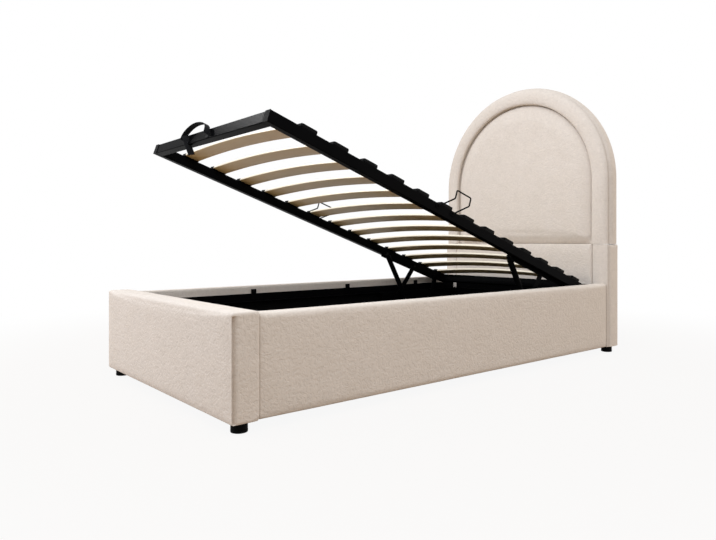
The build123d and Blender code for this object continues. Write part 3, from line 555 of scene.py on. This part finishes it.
def rail_cover():
    """Side rail: a long board with thin foam under a wrapped cover, rounded along its top."""
    low, high = Vector((0.465, -0.9650, box_bottom)), Vector((0.5175, 0.9515, rail_top))
    bm = grid_block(
        spread(low.x, high.x, 0.016, 0.004, 0.008),
        spread(low.y, high.y, 0.024, 0.004, 0.016),
        spread(low.z, high.z, 0.024, 0.004, 0.014),
    )
    for vert in bm.verts:
        vert.co = round_off(vert.co, low, high, (0.011, 0.005, 0.011))
    held = lambda p: p.x < 0.472 or p.z < stapled_height or p.y < -0.958 or p.y > 0.945
    cover("rail_cover_right", bm, held, 0.0025, ["side_rail_right"], 0.9)


def lower_panel_cover():
    """Lower headboard panel between the two wings."""
    low = Vector((-0.4395, headboard_front, box_bottom))
    high = Vector((0.4395, headboard_back, headboard_low_top))
    bm = grid_block(
        spread(low.x, high.x, 0.024, 0.004, 0.015),
        spread(low.y, high.y, 0.020, 0.004, 0.016),
        spread(low.z, high.z, 0.024, 0.004, 0.015),
    )
    for vert in bm.verts:
        vert.co = round_off(vert.co, low, high, (0.008, 0.008, 0.006))
    held = lambda p: p.y > 0.960 or p.z < lined_height or p.z > headboard_low_top - 0.004
    cover("lower_panel_cover", bm, held, 0.004, ["headboard_base"], 0.9)


def wing_cover():
    """Headboard wing: a front strip and a side pad, with a soft sewn valley between them."""
    outline = [
        (440.6, 963), (441.5, 957.5), (445, 954.3), (452, 953.4), (466, 953.1), (481, 953.2), (495, 953.6),
        (506, 954.8), (514, 956.9), (518.8, 959.8), (520.8, 962.8), (520.4, 965.2), (517.6, 967.2),
        (515.6, 968.4), (517.8, 969.6), (521.2, 971.4), (523.6, 975), (524.7, 981), (525, 990), (525, 1003),
        (525, 1020), (524.6, 1036), (523.2, 1046), (520, 1053), (513, 1056), (495, 1056), (470, 1056),
        (450, 1056), (441.5, 1055), (440.6, 1045), (440.6, 1020), (440.6, 990),
    ]
    levels = [30, 31, 34] + [40 + 14 * k for k in range(34)] + [507, 511, 515, 518, 521, 524, 526.5, 528.5]
    bm = bmesh.new()
    rings = [[bm.verts.new((x * mm, y * mm, z * mm)) for x, y in outline] for z in levels]
    join_rings(bm, rings)
    bm.faces.new(rings[-1])
    bm.faces.new(rings[0][::-1])
    top, outer, front, back = headboard_low_top, 0.525, 0.9532, headboard_back
    for vert in bm.verts:
        x, y, z = vert.co
        # a wide round at the outer top corner, and small ones along the front and back of the top
        rounds = ((x - outer, 0.015, 0, 1), (front - y, 0.003, 1, -1), (y - back, 0.006, 1, 1))
        for across, radius, axis, way in rounds:
            over, up = across + radius, z - top + radius
            far = hypot(over, up)
            if over > 0 and up > 0 and far > radius:
                vert.co[axis] -= way * over * (1 - radius / far)
                vert.co.z = top - radius + up * radius / far
                x, y, z = vert.co
    face_outwards(bm)

    def held(p):
        at_valley = p.x > 0.506 and p.y < 0.982
        at_lining = p.x < 0.47 and p.z < lined_height
        return p.y > 1.040 or p.z < stapled_height or p.x < 0.446 or at_valley or at_lining

    cover("wing_cover_right", bm, held, 0.0025, ["headboard_wing_right"], 0.9)


def arch_stations(step):
    """Places from the arch's left foot over its top to its right foot: a direction outward and its start."""
    foot = arch_foot_z - 1.2 * mm
    rise = arch_centre_z - foot
    steps = round(rise / step)
    turns = round(pi * 0.475 / step)
    left = [(-1.0, 0.0, foot + near) for near in (0, 0.6 * mm, 2.5 * mm)]
    left += [(-1.0, 0.0, foot + rise * k / steps) for k in range(1, steps)]
    over = [(cos(pi - pi * k / turns), sin(pi * k / turns), arch_centre_z) for k in range(turns + 1)]
    return left + over + [(-a, b, z) for a, b, z in reversed(left)]


def along_arch(profile, step):
    """A closed roll along the arch. Its section is in millimetres: out from the arch's centre, and back."""
    bm = bmesh.new()
    rings = []
    for out_x, out_z, start_z in arch_stations(step):
        rings.append([bm.verts.new((out_x * r * mm, y * mm, start_z + out_z * r * mm)) for r, y in profile])
    join_rings(bm, rings)
    bm.faces.new(rings[0])
    bm.faces.new(rings[-1][::-1])
    face_outwards(bm)
    return bm


def arch_ring_cover():
    """Padded roll round the front of the arch, full at its inner side and falling to the sewn edge outside."""
    profile = [
        (433.2, 977), (433.2, 966), (433.8, 961), (436, 957.3), (441, 954.8), (449, 953.5), (459, 953.1),
        (471, 953.6), (483, 955), (494, 957.2), (503, 960.2), (510, 963.8), (514.8, 967.4), (516.6, 970.4),
        (515.6, 972.8), (511.5, 974.4), (505, 975.4), (498, 980), (480, 982), (455, 982), (440, 981.5),
    ]
    held = lambda p: p.y > 0.971
    cover("arch_ring_cover", along_arch(profile, 0.012), held, 0.003, ["headboard_border"], 0.9)


def arch_band_cover():
    """Padded band round the outside of the arch, domed between its sewn front edge and its back edge."""
    profile = [
        (496, 979), (502, 977), (507, 977), (511.5, 978.4), (516, 981.2), (520, 985.6), (523, 991.4),
        (524.7, 998.5), (525, 1007), (524.9, 1016), (524.2, 1025), (523, 1032), (520.5, 1036.5), (516, 1038.5),
        (509, 1039), (495, 1039), (470, 1039), (445, 1039), (430, 1039), (430, 1020), (430, 1000), (430, 988),
        (440, 983), (470, 981),
    ]
    held = lambda p: p.y < 0.981 or p.y > 1.034
    cover("arch_band_cover", along_arch(profile, 0.014), held, 0.002, [], 0.9)


def arch_solid(radius, front, back, foot):
    """A solid arch of one radius, front to back, as a mesh to be covered."""
    bm = bmesh.new()
    turns = 72
    angles = [pi * k / turns for k in range(turns + 1)]
    over = [(-radius * cos(a), arch_centre_z + radius * sin(a)) for a in angles]
    outline = [(-radius, foot)] + over + [(radius, foot)]
    near = [bm.verts.new((x, front, z)) for x, z in outline]
    far = [bm.verts.new((x, back, z)) for x, z in outline]
    bm.faces.new(near)
    bm.faces.new(far[::-1])
    for k in range(len(outline)):
        after = (k + 1) % len(outline)
        bm.faces.new((near[k], far[k], far[after], near[after]))
    face_outwards(bm)
    return bm


def remesh(bm, name, voxel):
    """Covers a mesh with even quads of one size."""
    piece = new_piece(name, bm)
    even = piece.modifiers.new("even", "REMESH")
    even.mode = "VOXEL"
    even.voxel_size = voxel
    even.use_smooth_shade = True
    bake(piece)
    fresh = bmesh.new()
    fresh.from_mesh(piece.data)
    bpy.data.objects.remove(piece)
    return fresh


def arch_panel_cover():
    """Crowned inner panel of the arch: a flat middle, drawn in all round where it is stapled behind."""
    radius, foot = 0.4305, arch_foot_z - 0.001
    front, back = 0.956, 1.014
    side_crown, foot_crown, crown_depth = 0.062, 0.048, 0.026
    bm = remesh(arch_solid(radius, front, back, foot), "panel_shape", 0.008)
    for vert in bm.verts:
        x, y, z = vert.co
        side = radius - (hypot(x, z - arch_centre_z) if z > arch_centre_z else abs(x))
        # how near a point is to an edge, rounded off in the two lower corners
        near = [max(1 - side / side_crown, 0), max(1 - (z - foot) / foot_crown, 0)]
        drawn_in = min(hypot(*near), 1.0)
        if y < 0.990:
            vert.co.y += crown_depth * drawn_in**1.7
    held = lambda p: p.y > 0.970
    cover("arch_panel_cover", bm, held, 0.0025, ["headboard_panel"], 0.85)


def arch_back_board():
    """Back of the arch: a thin board, covered flat, that closes the roll and the band behind."""
    back = 1.041
    bm = arch_solid(0.5215, 1.029, back, arch_foot_z + 0.2 * mm)
    rims = [edge for edge in bm.edges if all(v.co.y > back - mm for v in edge.verts)]
    bmesh.ops.bevel(bm, geom=rims, offset=0.0025, segments=3, profile=0.5, affect="EDGES")
    return new_piece("arch_back_board", bm, sharp=50)


def blow_up():
    """Blows every cover up over its filling by cloth pressure, and limits how far each point stands proud."""
    last_frame = 20
    moving = [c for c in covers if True]
    for c in moving:
        piece = c["piece"]
        points = piece.data.vertices
        c["start"] = [p.co.copy() for p in points]
        group = piece.vertex_groups.new(name="held")
        group.add([p.index for p in points if c["held"](p.co)], 1.0, "REPLACE")
        cloth = piece.modifiers.new("cloth", "CLOTH")
        cloth.settings.quality = 5
        cloth.settings.use_pressure = True
        cloth.settings.uniform_pressure_force = 4.0
        cloth.settings.effector_weights.gravity = 0.0
        cloth.settings.vertex_group_mass = "held"
        cloth.point_cache.frame_start = 1
        cloth.point_cache.frame_end = last_frame
    if moving:
        for number in range(1, last_frame + 1):
            scene.frame_set(number)
    for c in moving:
        bake(c["piece"])
        for point, start in zip(c["piece"].data.vertices, c["start"]):
            moved = point.co - start
            if moved.length > 1e-9:
                point.co = start + moved * (c["cap"] * tanh(moved.length / c["cap"]) / moved.length)
        c["piece"].vertex_groups.clear()
    scene.frame_set(1)
    for c in covers:
        # cloth over foam is never dead flat: a slow ripple of under half a millimetre
        mesh = c["piece"].data
        normals = [v.normal.copy() for v in mesh.vertices]
        for point, normal in zip(mesh.vertices, normals):
            slow, fine = noise.noise(point.co * 14), noise.noise(point.co * 45)
            point.co += normal * (slow * 0.35 * mm + fine * 0.12 * mm)
        finer = c["piece"].modifiers.new("finer", "SUBSURF")
        finer.levels = finer.render_levels = 1
        bake(c["piece"])
        c["piece"].data.shade_smooth()


footboard_cover()
rail_cover()
lower_panel_cover()
wing_cover()
arch_ring_cover()
arch_band_cover()
arch_panel_cover()
blow_up()
for c in covers:
    piece, nodes = c["piece"], c["nodes"]
    pair = [(piece, nodes)]
    if "right" in piece.name:
        other = mirrored(piece, piece.name.replace("right", "left"))
        pair.append((other, [n.replace("right", "left") for n in nodes]))
    for one, stands_for in pair:
        place_piece(one, "upholstery", "box", stands_for)
place_piece(arch_back_board(), "upholstery", "box", ["headboard_board"])


# Pieces that repeat


def node_tree(name, sockets):
    """Starts a Geometry Nodes tree with named inputs, and gives its tree and the sockets of its inputs."""
    tree = bpy.data.node_groups.new(name, "GeometryNodeTree")
    for label, kind in sockets:
        tree.interface.new_socket(label, in_out="INPUT", socket_type=f"NodeSocket{kind}")
    tree.interface.new_socket("Geometry", in_out="OUTPUT", socket_type="NodeSocketGeometry")
    entry = tree.nodes.new("NodeGroupInput")
    return tree, {label: entry.outputs[label] for label, _ in sockets}


def end_tree(tree, geometry, material):
    """Ends a tree with real geometry and its material."""
    real = add(tree, "GeometryNodeRealizeInstances", {"Geometry": geometry})
    painted = add(tree, "GeometryNodeSetMaterial", {"Geometry": real, "Material": material})
    add(tree, "NodeGroupOutput", {"Geometry": painted})


def grow(name, tree, slot, values):
    """Runs a tree with its named inputs and the finish of a slot, and keeps the result as a plain mesh."""
    values = {**values, "Material": finishes[slot]}
    piece = put(name, bpy.data.meshes.new(name))
    growth = piece.modifiers.new("growth", "NODES")
    growth.node_group = tree
    for socket in tree.interface.items_tree:
        if socket.in_out == "INPUT" and socket.name in values:
            growth[socket.identifier] = values[socket.name]
    return bake(piece)


def bowed_slat_tree():
    """One bowed slat: a board whose middle stands above its two ends. Its flat shape is kept as 'board'."""
    tree, given = node_tree(
        "bowed_slat",
        [
            ("Half length", "Float"), ("Width", "Float"), ("Thickness", "Float"), ("Crown", "Float"),
            ("Material", "Material"),
        ],
    )
    length = add(tree, "ShaderNodeMath", {0: given["Half length"], 1: 2.0}, operation="MULTIPLY")
    size = add(tree, "ShaderNodeCombineXYZ", {0: length, 1: given["Width"], 2: given["Thickness"]})
    board = add(
        tree, "GeometryNodeMeshCube", {"Size": size, "Vertices X": 37, "Vertices Y": 4, "Vertices Z": 2}
    )
    place = add(tree, "GeometryNodeInputPosition")
    kept = add(
        tree,
        "GeometryNodeStoreNamedAttribute",
        {"Geometry": board.outputs["Mesh"], "Name": "board", "Value": place},
        data_type="FLOAT_VECTOR",
        domain="POINT",
    )
    along = add(tree, "ShaderNodeSeparateXYZ", {0: place})
    share = add(tree, "ShaderNodeMath", {0: along.outputs["X"], 1: given["Half length"]}, operation="DIVIDE")
    square = add(tree, "ShaderNodeMath", {0: share, 1: share}, operation="MULTIPLY")
    left = add(tree, "ShaderNodeMath", {0: 1.0, 1: square}, operation="SUBTRACT")
    rise = add(tree, "ShaderNodeMath", {0: left, 1: given["Crown"]}, operation="MULTIPLY")
    lift = add(tree, "ShaderNodeCombineXYZ", {2: rise})
    bowed = add(tree, "GeometryNodeSetPosition", {"Geometry": kept, "Offset": lift})
    end_tree(tree, bowed.outputs[0], given["Material"])
    return tree


def row_tree():
    """A row of one piece at even steps, laid into the room, and again on the other side of the bed."""
    tree, given = node_tree(
        "row_of_pieces",
        [
            ("Piece", "Object"), ("Count", "Int"), ("First", "Vector"), ("Step", "Vector"), ("Place", "Vector"),
            ("Turn", "Rotation"), ("Both sides", "Bool"), ("Seed", "Int"), ("Material", "Material"),
        ],
    )
    line = add(
        tree,
        "GeometryNodeMeshLine",
        {"Count": given["Count"], "Start Location": given["First"], "Offset": given["Step"]},
        mode="OFFSET",
    )
    piece = add(tree, "GeometryNodeObjectInfo", {"Object": given["Piece"]}, transform_space="ORIGINAL")
    laid = add(tree, "GeometryNodeInstanceOnPoints", {"Points": line, "Instance": piece.outputs["Geometry"]})
    tone = add(tree, "FunctionNodeRandomValue", {"Seed": given["Seed"]}, data_type="FLOAT")
    toned = add(
        tree,
        "GeometryNodeStoreNamedAttribute",
        {"Geometry": laid, "Name": "tone", "Value": tone.outputs[1]},
        data_type="FLOAT",
        domain="INSTANCE",
    )
    whole = add(tree, "GeometryNodeRealizeInstances", {"Geometry": toned})
    other = add(tree, "GeometryNodeTransform", {"Geometry": whole, "Scale": (-1, 1, 1)})
    turned = add(tree, "GeometryNodeFlipFaces", {0: other})
    wanted = add(
        tree, "GeometryNodeSwitch", {"Switch": given["Both sides"], "True": turned}, input_type="GEOMETRY"
    )
    both = add(tree, "GeometryNodeJoinGeometry", {0: whole})
    tree.links.new(wanted.outputs[0], both.inputs[0])
    raised = add(
        tree,
        "GeometryNodeTransform",
        {"Geometry": both, "Translation": given["Place"], "Rotation": given["Turn"]},
    )
    end_tree(tree, raised.outputs[0], given["Material"])
    return tree


def seat_tree():
    """One fastener on each point of a set of seats, turned to face out of them."""
    tree, given = node_tree(
        "fasteners_on_seats", [("Piece", "Object"), ("Seats", "Object"), ("Material", "Material")]
    )
    seats = add(tree, "GeometryNodeObjectInfo", {"Object": given["Seats"]}, transform_space="ORIGINAL")
    piece = add(tree, "GeometryNodeObjectInfo", {"Object": given["Piece"]}, transform_space="ORIGINAL")
    facing = add(tree, "GeometryNodeInputNamedAttribute", {"Name": "facing"}, data_type="FLOAT_VECTOR")
    turn = add(tree, "FunctionNodeAlignRotationToVector", {"Vector": facing}, axis="Z")
    laid = add(
        tree,
        "GeometryNodeInstanceOnPoints",
        {"Points": seats.outputs["Geometry"], "Instance": piece.outputs["Geometry"], "Rotation": turn},
    )
    end_tree(tree, laid.outputs[0], given["Material"])
    return tree


def bevel_edges(piece, width, segments):
    """Rounds the sharp edges of a piece and keeps it as a plain mesh."""
    bevel = piece.modifiers.new("edges", "BEVEL")
    bevel.width = width
    bevel.segments = segments
    bevel.limit_method = "ANGLE"
    bevel.angle_limit = radians(35)
    bake(piece)
    piece.data.shade_smooth()
    piece.data.set_sharp_from_angle(angle=radians(50))


def rounded_rectangle(width, height, radius):
    """Points round a rectangle with rounded corners, about its middle."""
    per_corner = 4
    middle_x, middle_y = width / 2 - radius, height / 2 - radius
    points = []
    for corner, (sx, sy) in enumerate(((1, 1), (-1, 1), (-1, -1), (1, -1))):
        for k in range(per_corner + 1):
            angle = pi / 2 * (corner + k / per_corner)
            points.append((sx * middle_x + radius * cos(angle), sy * middle_y + radius * sin(angle)))
    return points


def slat_holder():
    """Holder for one slat end on the right side tube: a cap with a pocket that opens towards the middle."""
    inner, outer, wall = 419 * mm, 449 * mm, 3 * mm
    height = 13 * mm
    middle, lip_middle = height / 2, 6.6 * mm
    around = rounded_rectangle(slat_width + 4 * mm, height, 3.5 * mm)
    lip = rounded_rectangle(65.2 * mm, 12.2 * mm, 1.8 * mm)
    pocket = rounded_rectangle(63.8 * mm, 11.6 * mm, 1.2 * mm)
    bm = bmesh.new()
    loops = []
    for x, points, rise, shrink in (
        (outer, around, middle, 0.88), (outer - 4 * mm, around, middle, 1.0),
        (inner + 16 * mm, around, middle, 1.0), (inner + 4 * mm, lip, lip_middle, 1.0),
        (inner, lip, lip_middle, 0.99), (inner, pocket, lip_middle, 1.0),
        (outer - wall, pocket, lip_middle, 0.88),
    ):
        loops.append([bm.verts.new((x, s * shrink, rise + (n * shrink))) for s, n in points])
    join_rings(bm, loops)
    bm.faces.new(loops[0])
    bm.faces.new(loops[-1])
    face_outwards(bm)
    return new_piece("holder_master", bm, sharp=40)


def turned_piece(name, profile, steps):
    """A turned piece: its profile, in millimetres out from and along its axis, spun round Z."""
    bm = bmesh.new()
    ways = [(cos(2 * pi * k / steps) * mm, sin(2 * pi * k / steps) * mm) for k in range(steps)]
    rings = []
    for radius, height in profile:
        if radius == 0:
            rings.append([bm.verts.new((0, 0, height * mm))] * steps)
        else:
            rings.append([bm.verts.new((radius * a, radius * b, height * mm)) for a, b in ways])
    for here, there in zip(rings, rings[1:]):
        for k in range(steps):
            corners = [here[k], here[(k + 1) % steps], there[(k + 1) % steps], there[k]]
            unique = list(dict.fromkeys(corners))
            if len(unique) > 2:
                bm.faces.new(unique)
    face_outwards(bm)
    return new_piece(name, bm, sharp=40)


def seats_at(places):
    """A set of seats for fasteners: each a point and the way that it faces."""
    mesh = bpy.data.meshes.new("seats")
    mesh.from_pydata([p for p, _ in places], [], [])
    facing = mesh.attributes.new("facing", "FLOAT_VECTOR", "POINT")
    facing.data.foreach_set("vector", [c for _, way in places for c in way])
    return put("seats", mesh)


rows, seated = row_tree(), seat_tree()
along_base = {
    "Count": slat_count, "Step": (0, slat_pitch, 0), "Place": base_foot_end, "Turn": (-base_tilt, 0.0, 0.0),
}

slat = grow(
    "slat_master",
    bowed_slat_tree(),
    "birch",
    {"Half length": 436 * mm, "Width": slat_width, "Thickness": slat_thickness, "Crown": slat_crown},
)
bevel_edges(slat, 0.8 * mm, 2)
slats = grow(
    "bowed_slats",
    rows,
    "birch",
    {"Piece": slat, "First": (0, first_slat, 5.5 * mm), "Both sides": False, "Seed": 7, **along_base},
)
place_piece(slats, "birch", "lift_base", [f"slat_{k:02d}" for k in range(1, slat_count + 1)])

holder = slat_holder()
holders = grow(
    "slat_holders",
    rows,
    "black_plastic",
    {"Piece": holder, "First": (0, first_slat, 0), "Both sides": True, "Seed": 3, **along_base},
)
place_piece(holders, "black_plastic", "lift_base", ["slat_holders_left", "slat_holders_right"])

# a turned foot: a wide sole, a groove above it and a rounded shoulder
foot = turned_piece(
    "foot_master",
    [
        (0, 0), (22, 0), (24.4, 0.8), (25, 2.5), (25, 9), (24.2, 9.8), (24.2, 11), (24.8, 11.8), (24.4, 24),
        (23.5, 28), (22, 30), (0, 30),
    ],
    40,
)
foot_x, foot_y = 485 * mm, 1011 * mm
foot_seats = seats_at([((x * foot_x, y * foot_y, 0), (0, 0, 1)) for x in (-1, 1) for y in (-1, 1)])
feet = grow("round_feet", seated, "foot_plastic", {"Piece": foot, "Seats": foot_seats})
place_piece(feet, "foot_plastic", "box", ["feet"])

# a pan-head screw with a recess for the driver
screw = turned_piece(
    "screw_master",
    [(0, 1.0), (1.6, 1.0), (1.9, 2.5), (2.6, 2.55), (3.6, 2.2), (4.3, 1.4), (4.5, 0.5), (4.5, 0), (0, 0)],
    18,
)
# the brackets' screws stand on both rails, at these shares of the box's inner length
bracket_x, bracket_z = 460 * mm, 310 * mm
box_start, box_length = -966 * mm, 1919 * mm
bracket_seats = []
for side in (-1, 1):
    for share in (0.2845, 0.5742, 0.8327):
        bracket_seats.append(((side * bracket_x, box_start + box_length * share, bracket_z), (-side, 0, 0)))
box_seats = seats_at(bracket_seats)
box_screws = grow("bracket_screws_made", seated, "zinc_screw", {"Piece": screw, "Seats": box_seats})
place_piece(box_screws, "zinc_screw", "box", ["bracket_screws"])

face = raise_base.to_3x3() @ Vector((0, -1, 0))
strap_seats = seats_at([(raise_base @ (Vector((x, -2.9, -19)) * mm), face) for x in (-130, 34)])
strap_screws = grow("strap_screws_made", seated, "zinc_screw", {"Piece": screw, "Seats": strap_seats})
place_piece(strap_screws, "zinc_screw", "lift_base", ["strap_screws"])

for master in (slat, holder, foot, screw, foot_seats, box_seats, strap_seats):
    bpy.data.objects.remove(master)


# Wire hoops and pull strap


def wire_hoop(side):
    """Bent wire hoop on the outer face of a side tube, with the flat welded plates at its feet."""
    line = bpy.data.curves.new("hoop_line", "CURVE")
    line.dimensions = "3D"
    line.bevel_depth = 3 * mm
    line.bevel_resolution = 3
    run = line.splines.new("POLY")
    x = side * 454.5
    first_foot, last_foot, low = 775, 860, -12
    corners = [(first_foot, low), (853, 49), (853, 83), (938, 83), (938, 49), (last_foot, low)]
    bent = bend_corners(corners, 8, 5)
    run.points.add(len(bent) - 1)
    for point, (s, n) in zip(run.points, bent):
        point.co = (*(raise_base @ (Vector((x, s, n)) * mm)), 1)
    holder = put("hoop_line", line)
    mesh = bpy.data.meshes.new_from_object(holder.evaluated_get(bpy.context.evaluated_depsgraph_get()))
    bpy.data.objects.remove(holder)
    bm = bmesh.new()
    bm.from_mesh(mesh)
    bmesh.ops.holes_fill(bm, edges=[e for e in bm.edges if e.is_boundary])
    for s in (first_foot, last_foot):
        plate = bmesh.ops.create_cube(bm, size=1.0)["verts"]
        for vert in plate:
            a, b, c = vert.co
            vert.co = Vector((side * (451 + a * 2), s + b * 24, low + c * 18)) * mm
        rims = list({e for v in plate for e in v.link_edges})
        rounded = bmesh.ops.bevel(bm, geom=rims, offset=0.6 * mm, segments=1, affect="EDGES")
        plate = {v for v in plate if v.is_valid} | set(rounded["verts"])
        for vert in plate:
            vert.co = raise_base @ vert.co
    face_outwards(bm)
    return new_piece("mattress_hoop_made_" + ("right" if side > 0 else "left"), bm, sharp=40)


def bend_corners(corners, radius, steps):
    """Rounds the corners of a route to one radius."""
    route = [corners[0]]
    for before, here, after in zip(corners, corners[1:], corners[2:]):
        a, b, c = Vector(before), Vector(here), Vector(after)
        into, out = (b - a).normalized(), (c - b).normalized()
        reach = radius * abs(into.angle_signed(out)) / 2 * 1.1
        for k in range(steps + 1):
            t = k / steps
            first = b - into * reach
            last = b + out * reach
            route.append(tuple(first * (1 - t) ** 2 + b * 2 * t * (1 - t) + last * t**2))
    route.append(corners[-1])
    return route


def ribbon(bm, weave, route, sides, width, thickness):
    """Adds a flat strap along a route, with the way of its width at each point, and its weave map."""
    side, inside, face = width / 2, width / 2 - thickness, thickness / 2
    section = [(-side, 0), (-inside, face), (0, face), (inside, face)]
    section += [(side, 0), (inside, -face), (0, -face), (-inside, -face)]
    rings, run = [], 0.0
    for k, point in enumerate(route):
        before, after = route[max(k - 1, 0)], route[min(k + 1, len(route) - 1)]
        if k:
            run += (point - route[k - 1]).length
        across = sides[k]
        up = across.cross(after - before).normalized()
        rings.append((run, [bm.verts.new(point + across * w + up * t) for w, t in section]))
    count = len(section)
    for (start, here), (end, there) in zip(rings, rings[1:]):
        for k in range(count):
            after = (k + 1) % count
            made = bm.faces.new((here[k], here[after], there[after], there[k]))
            v, next_v = section[k][0], section[after][0]
            for loop, place in zip(made.loops, ((start, v), (start, next_v), (end, next_v), (end, v))):
                loop[weave].uv = place
    bm.faces.new(rings[0][1][::-1])
    bm.faces.new(rings[-1][1])


def pull_strap():
    """Webbing pull strap: a standing loop over the foot tube, two flat tabs and a hanging tail."""
    bm = bmesh.new()
    weave = bm.loops.layers.uv.new("weave")
    down_face = raise_base.to_3x3() @ Vector((0, 1, 0))
    sideways = Vector((1, 0, 0))
    radius, rise = 97, 56
    loop = []
    for k in range(61):
        angle = pi * (1.005 - 1.01 * k / 60)
        lean = 1.2 * sin(3 * angle) * sin(angle)
        x = strap_middle + radius * cos(angle) * (1 + 0.012 * sin(2 * angle))
        loop.append(raise_base @ (Vector((x, -13.6 + lean, -33 + rise * abs(sin(angle)) ** 0.66 + 0.8)) * mm))
    ribbon(bm, weave, loop, [down_face] * len(loop), 22 * mm, webbing_thickness)
    for x in (strap_middle - 84, strap_middle + 84):
        tab = [raise_base @ (Vector((x, -1.5, n)) * mm) for n in (-36, -26, -19, -11, -4.5)]
        ribbon(bm, weave, tab, [sideways] * len(tab), 26 * mm, webbing_thickness)
    # the loose tail goes on from the loop's left leg, hangs in front of the tube's face and ends below it
    route = [
        (-128.2, -904.5, 933), (-124.5, -903, 927), (-121.2, -899.2, 914), (-117.8, -895.5, 901),
        (-115, -892.2, 888), (-111.8, -888.5, 874), (-109.2, -885.2, 861.5),
    ]
    tail = [Vector(point) * mm for point in route]
    aside = Vector((0.636, 0.772, 0.12)).normalized()
    ribbon(bm, weave, tail, [aside] * len(tail), 25 * mm, webbing_thickness)
    face_outwards(bm)
    return new_piece("pull_strap_made", bm, sharp=60)


for side, name in ((-1, "left"), (1, "right")):
    place_piece(wire_hoop(side), "black_steel", "lift_base", [f"mattress_hoop_{name}"])
place_piece(pull_strap(), "black_webbing", "lift_base", ["pull_strap"])


# Floor, light and camera


def room_rays(tree):
    """1 for the rays that see the white room itself: to the camera, in gloss and through clear things."""
    rays = add(tree, "ShaderNodeLightPath").outputs
    share = rays["Is Camera Ray"]
    for other in ("Is Glossy Ray", "Is Transmission Ray"):
        share = add(tree, "ShaderNodeMath", {0: share, 1: rays[other]}, operation="MAXIMUM")
    return share


def studio_floor():
    """Plain pale floor that keeps the bed's shadow."""
    bm = bmesh.new()
    bmesh.ops.create_grid(bm, x_segments=1, y_segments=1, size=14)
    floor = new_piece("studio_floor", bm)
    material = bpy.data.materials.new("pale_matt_floor")
    tree = empty_tree(material)
    matt = add(tree, "ShaderNodeBsdfDiffuse", {"Color": "#a08a74"})
    glow = add(tree, "ShaderNodeEmission", {"Color": (1, 1, 1, 1), "Strength": 1.0})
    # the shadow is kept near the bed, and the floor turns plain white further out
    place = add(tree, "ShaderNodeTexCoord").outputs["Object"]
    away = add(tree, "ShaderNodeVectorMath", {0: place}, operation="LENGTH")
    plain = add(
        tree,
        "ShaderNodeMapRange",
        {"Value": away.outputs["Value"], "From Min": 1.2, "From Max": 3.2, "To Min": 0.92, "To Max": 1.0},
        interpolation_type="SMOOTHSTEP",
    )
    share = add(tree, "ShaderNodeMath", {0: room_rays(tree), 1: plain}, operation="MULTIPLY")
    mix = add(tree, "ShaderNodeMixShader", {0: share, 1: matt, 2: glow})
    add(tree, "ShaderNodeOutputMaterial", {"Surface": mix})
    floor.data.materials.append(material)


def studio_world():
    """Even white room: white to the camera and in reflections, softer as light."""
    world = bpy.data.worlds.new("white_room")
    scene.world = world
    tree = empty_tree(world)
    strength = add(tree, "ShaderNodeMapRange", {"Value": room_rays(tree), "To Min": 0.86, "To Max": 1.0})
    sky = add(tree, "ShaderNodeBackground", {"Color": (1, 1, 1, 1), "Strength": strength})
    add(tree, "ShaderNodeOutputWorld", {"Surface": sky})


def soft_lamp(name, place, aim, size, power, colour):
    """One large soft lamp, aimed at a point."""
    lamp = bpy.data.lights.new(name, "AREA")
    lamp.shape = "SQUARE"
    lamp.size = size
    lamp.energy = power
    lamp.color = linear(colour)[:3]
    holder = put(name, lamp)
    holder.location = place
    holder.rotation_euler = (Vector(aim) - Vector(place)).to_track_quat("-Z", "Y").to_euler()


studio_floor()
studio_world()
soft_lamp("front_softbox", (-1.2, -3.4, 1.7), (0, -0.2, 0.5), 1.6, 45, "#e8f0ff")
soft_lamp("headboard_softbox", (0.72, -0.9, 1.85), (0, 0.95, 0.5), 1.2, 17, "#eef4ff")
soft_lamp("raking_softbox", (3.4, 6.2, 2.2), (0.5, 0, 0.2), 1.4, 104, "#fff4e8")
soft_lamp("rim_softbox", (-2.93, -1.94, 2.85), (0.3, -0.9, 0.95), 0.35, 30, "#ffffff")

# the camera was solved from the photograph's vanishing points
camera = bpy.data.cameras.new("camera")
camera.lens = 31.017
camera.shift_x = -0.0001
camera.shift_y = -0.0394
viewer = put("camera", camera)
viewer.location = (2.0523, -1.8643, 0.539)
viewer.rotation_euler = (radians(90), 0, 0.8818)
scene.camera = viewer
scene.view_settings.view_transform = "Standard"
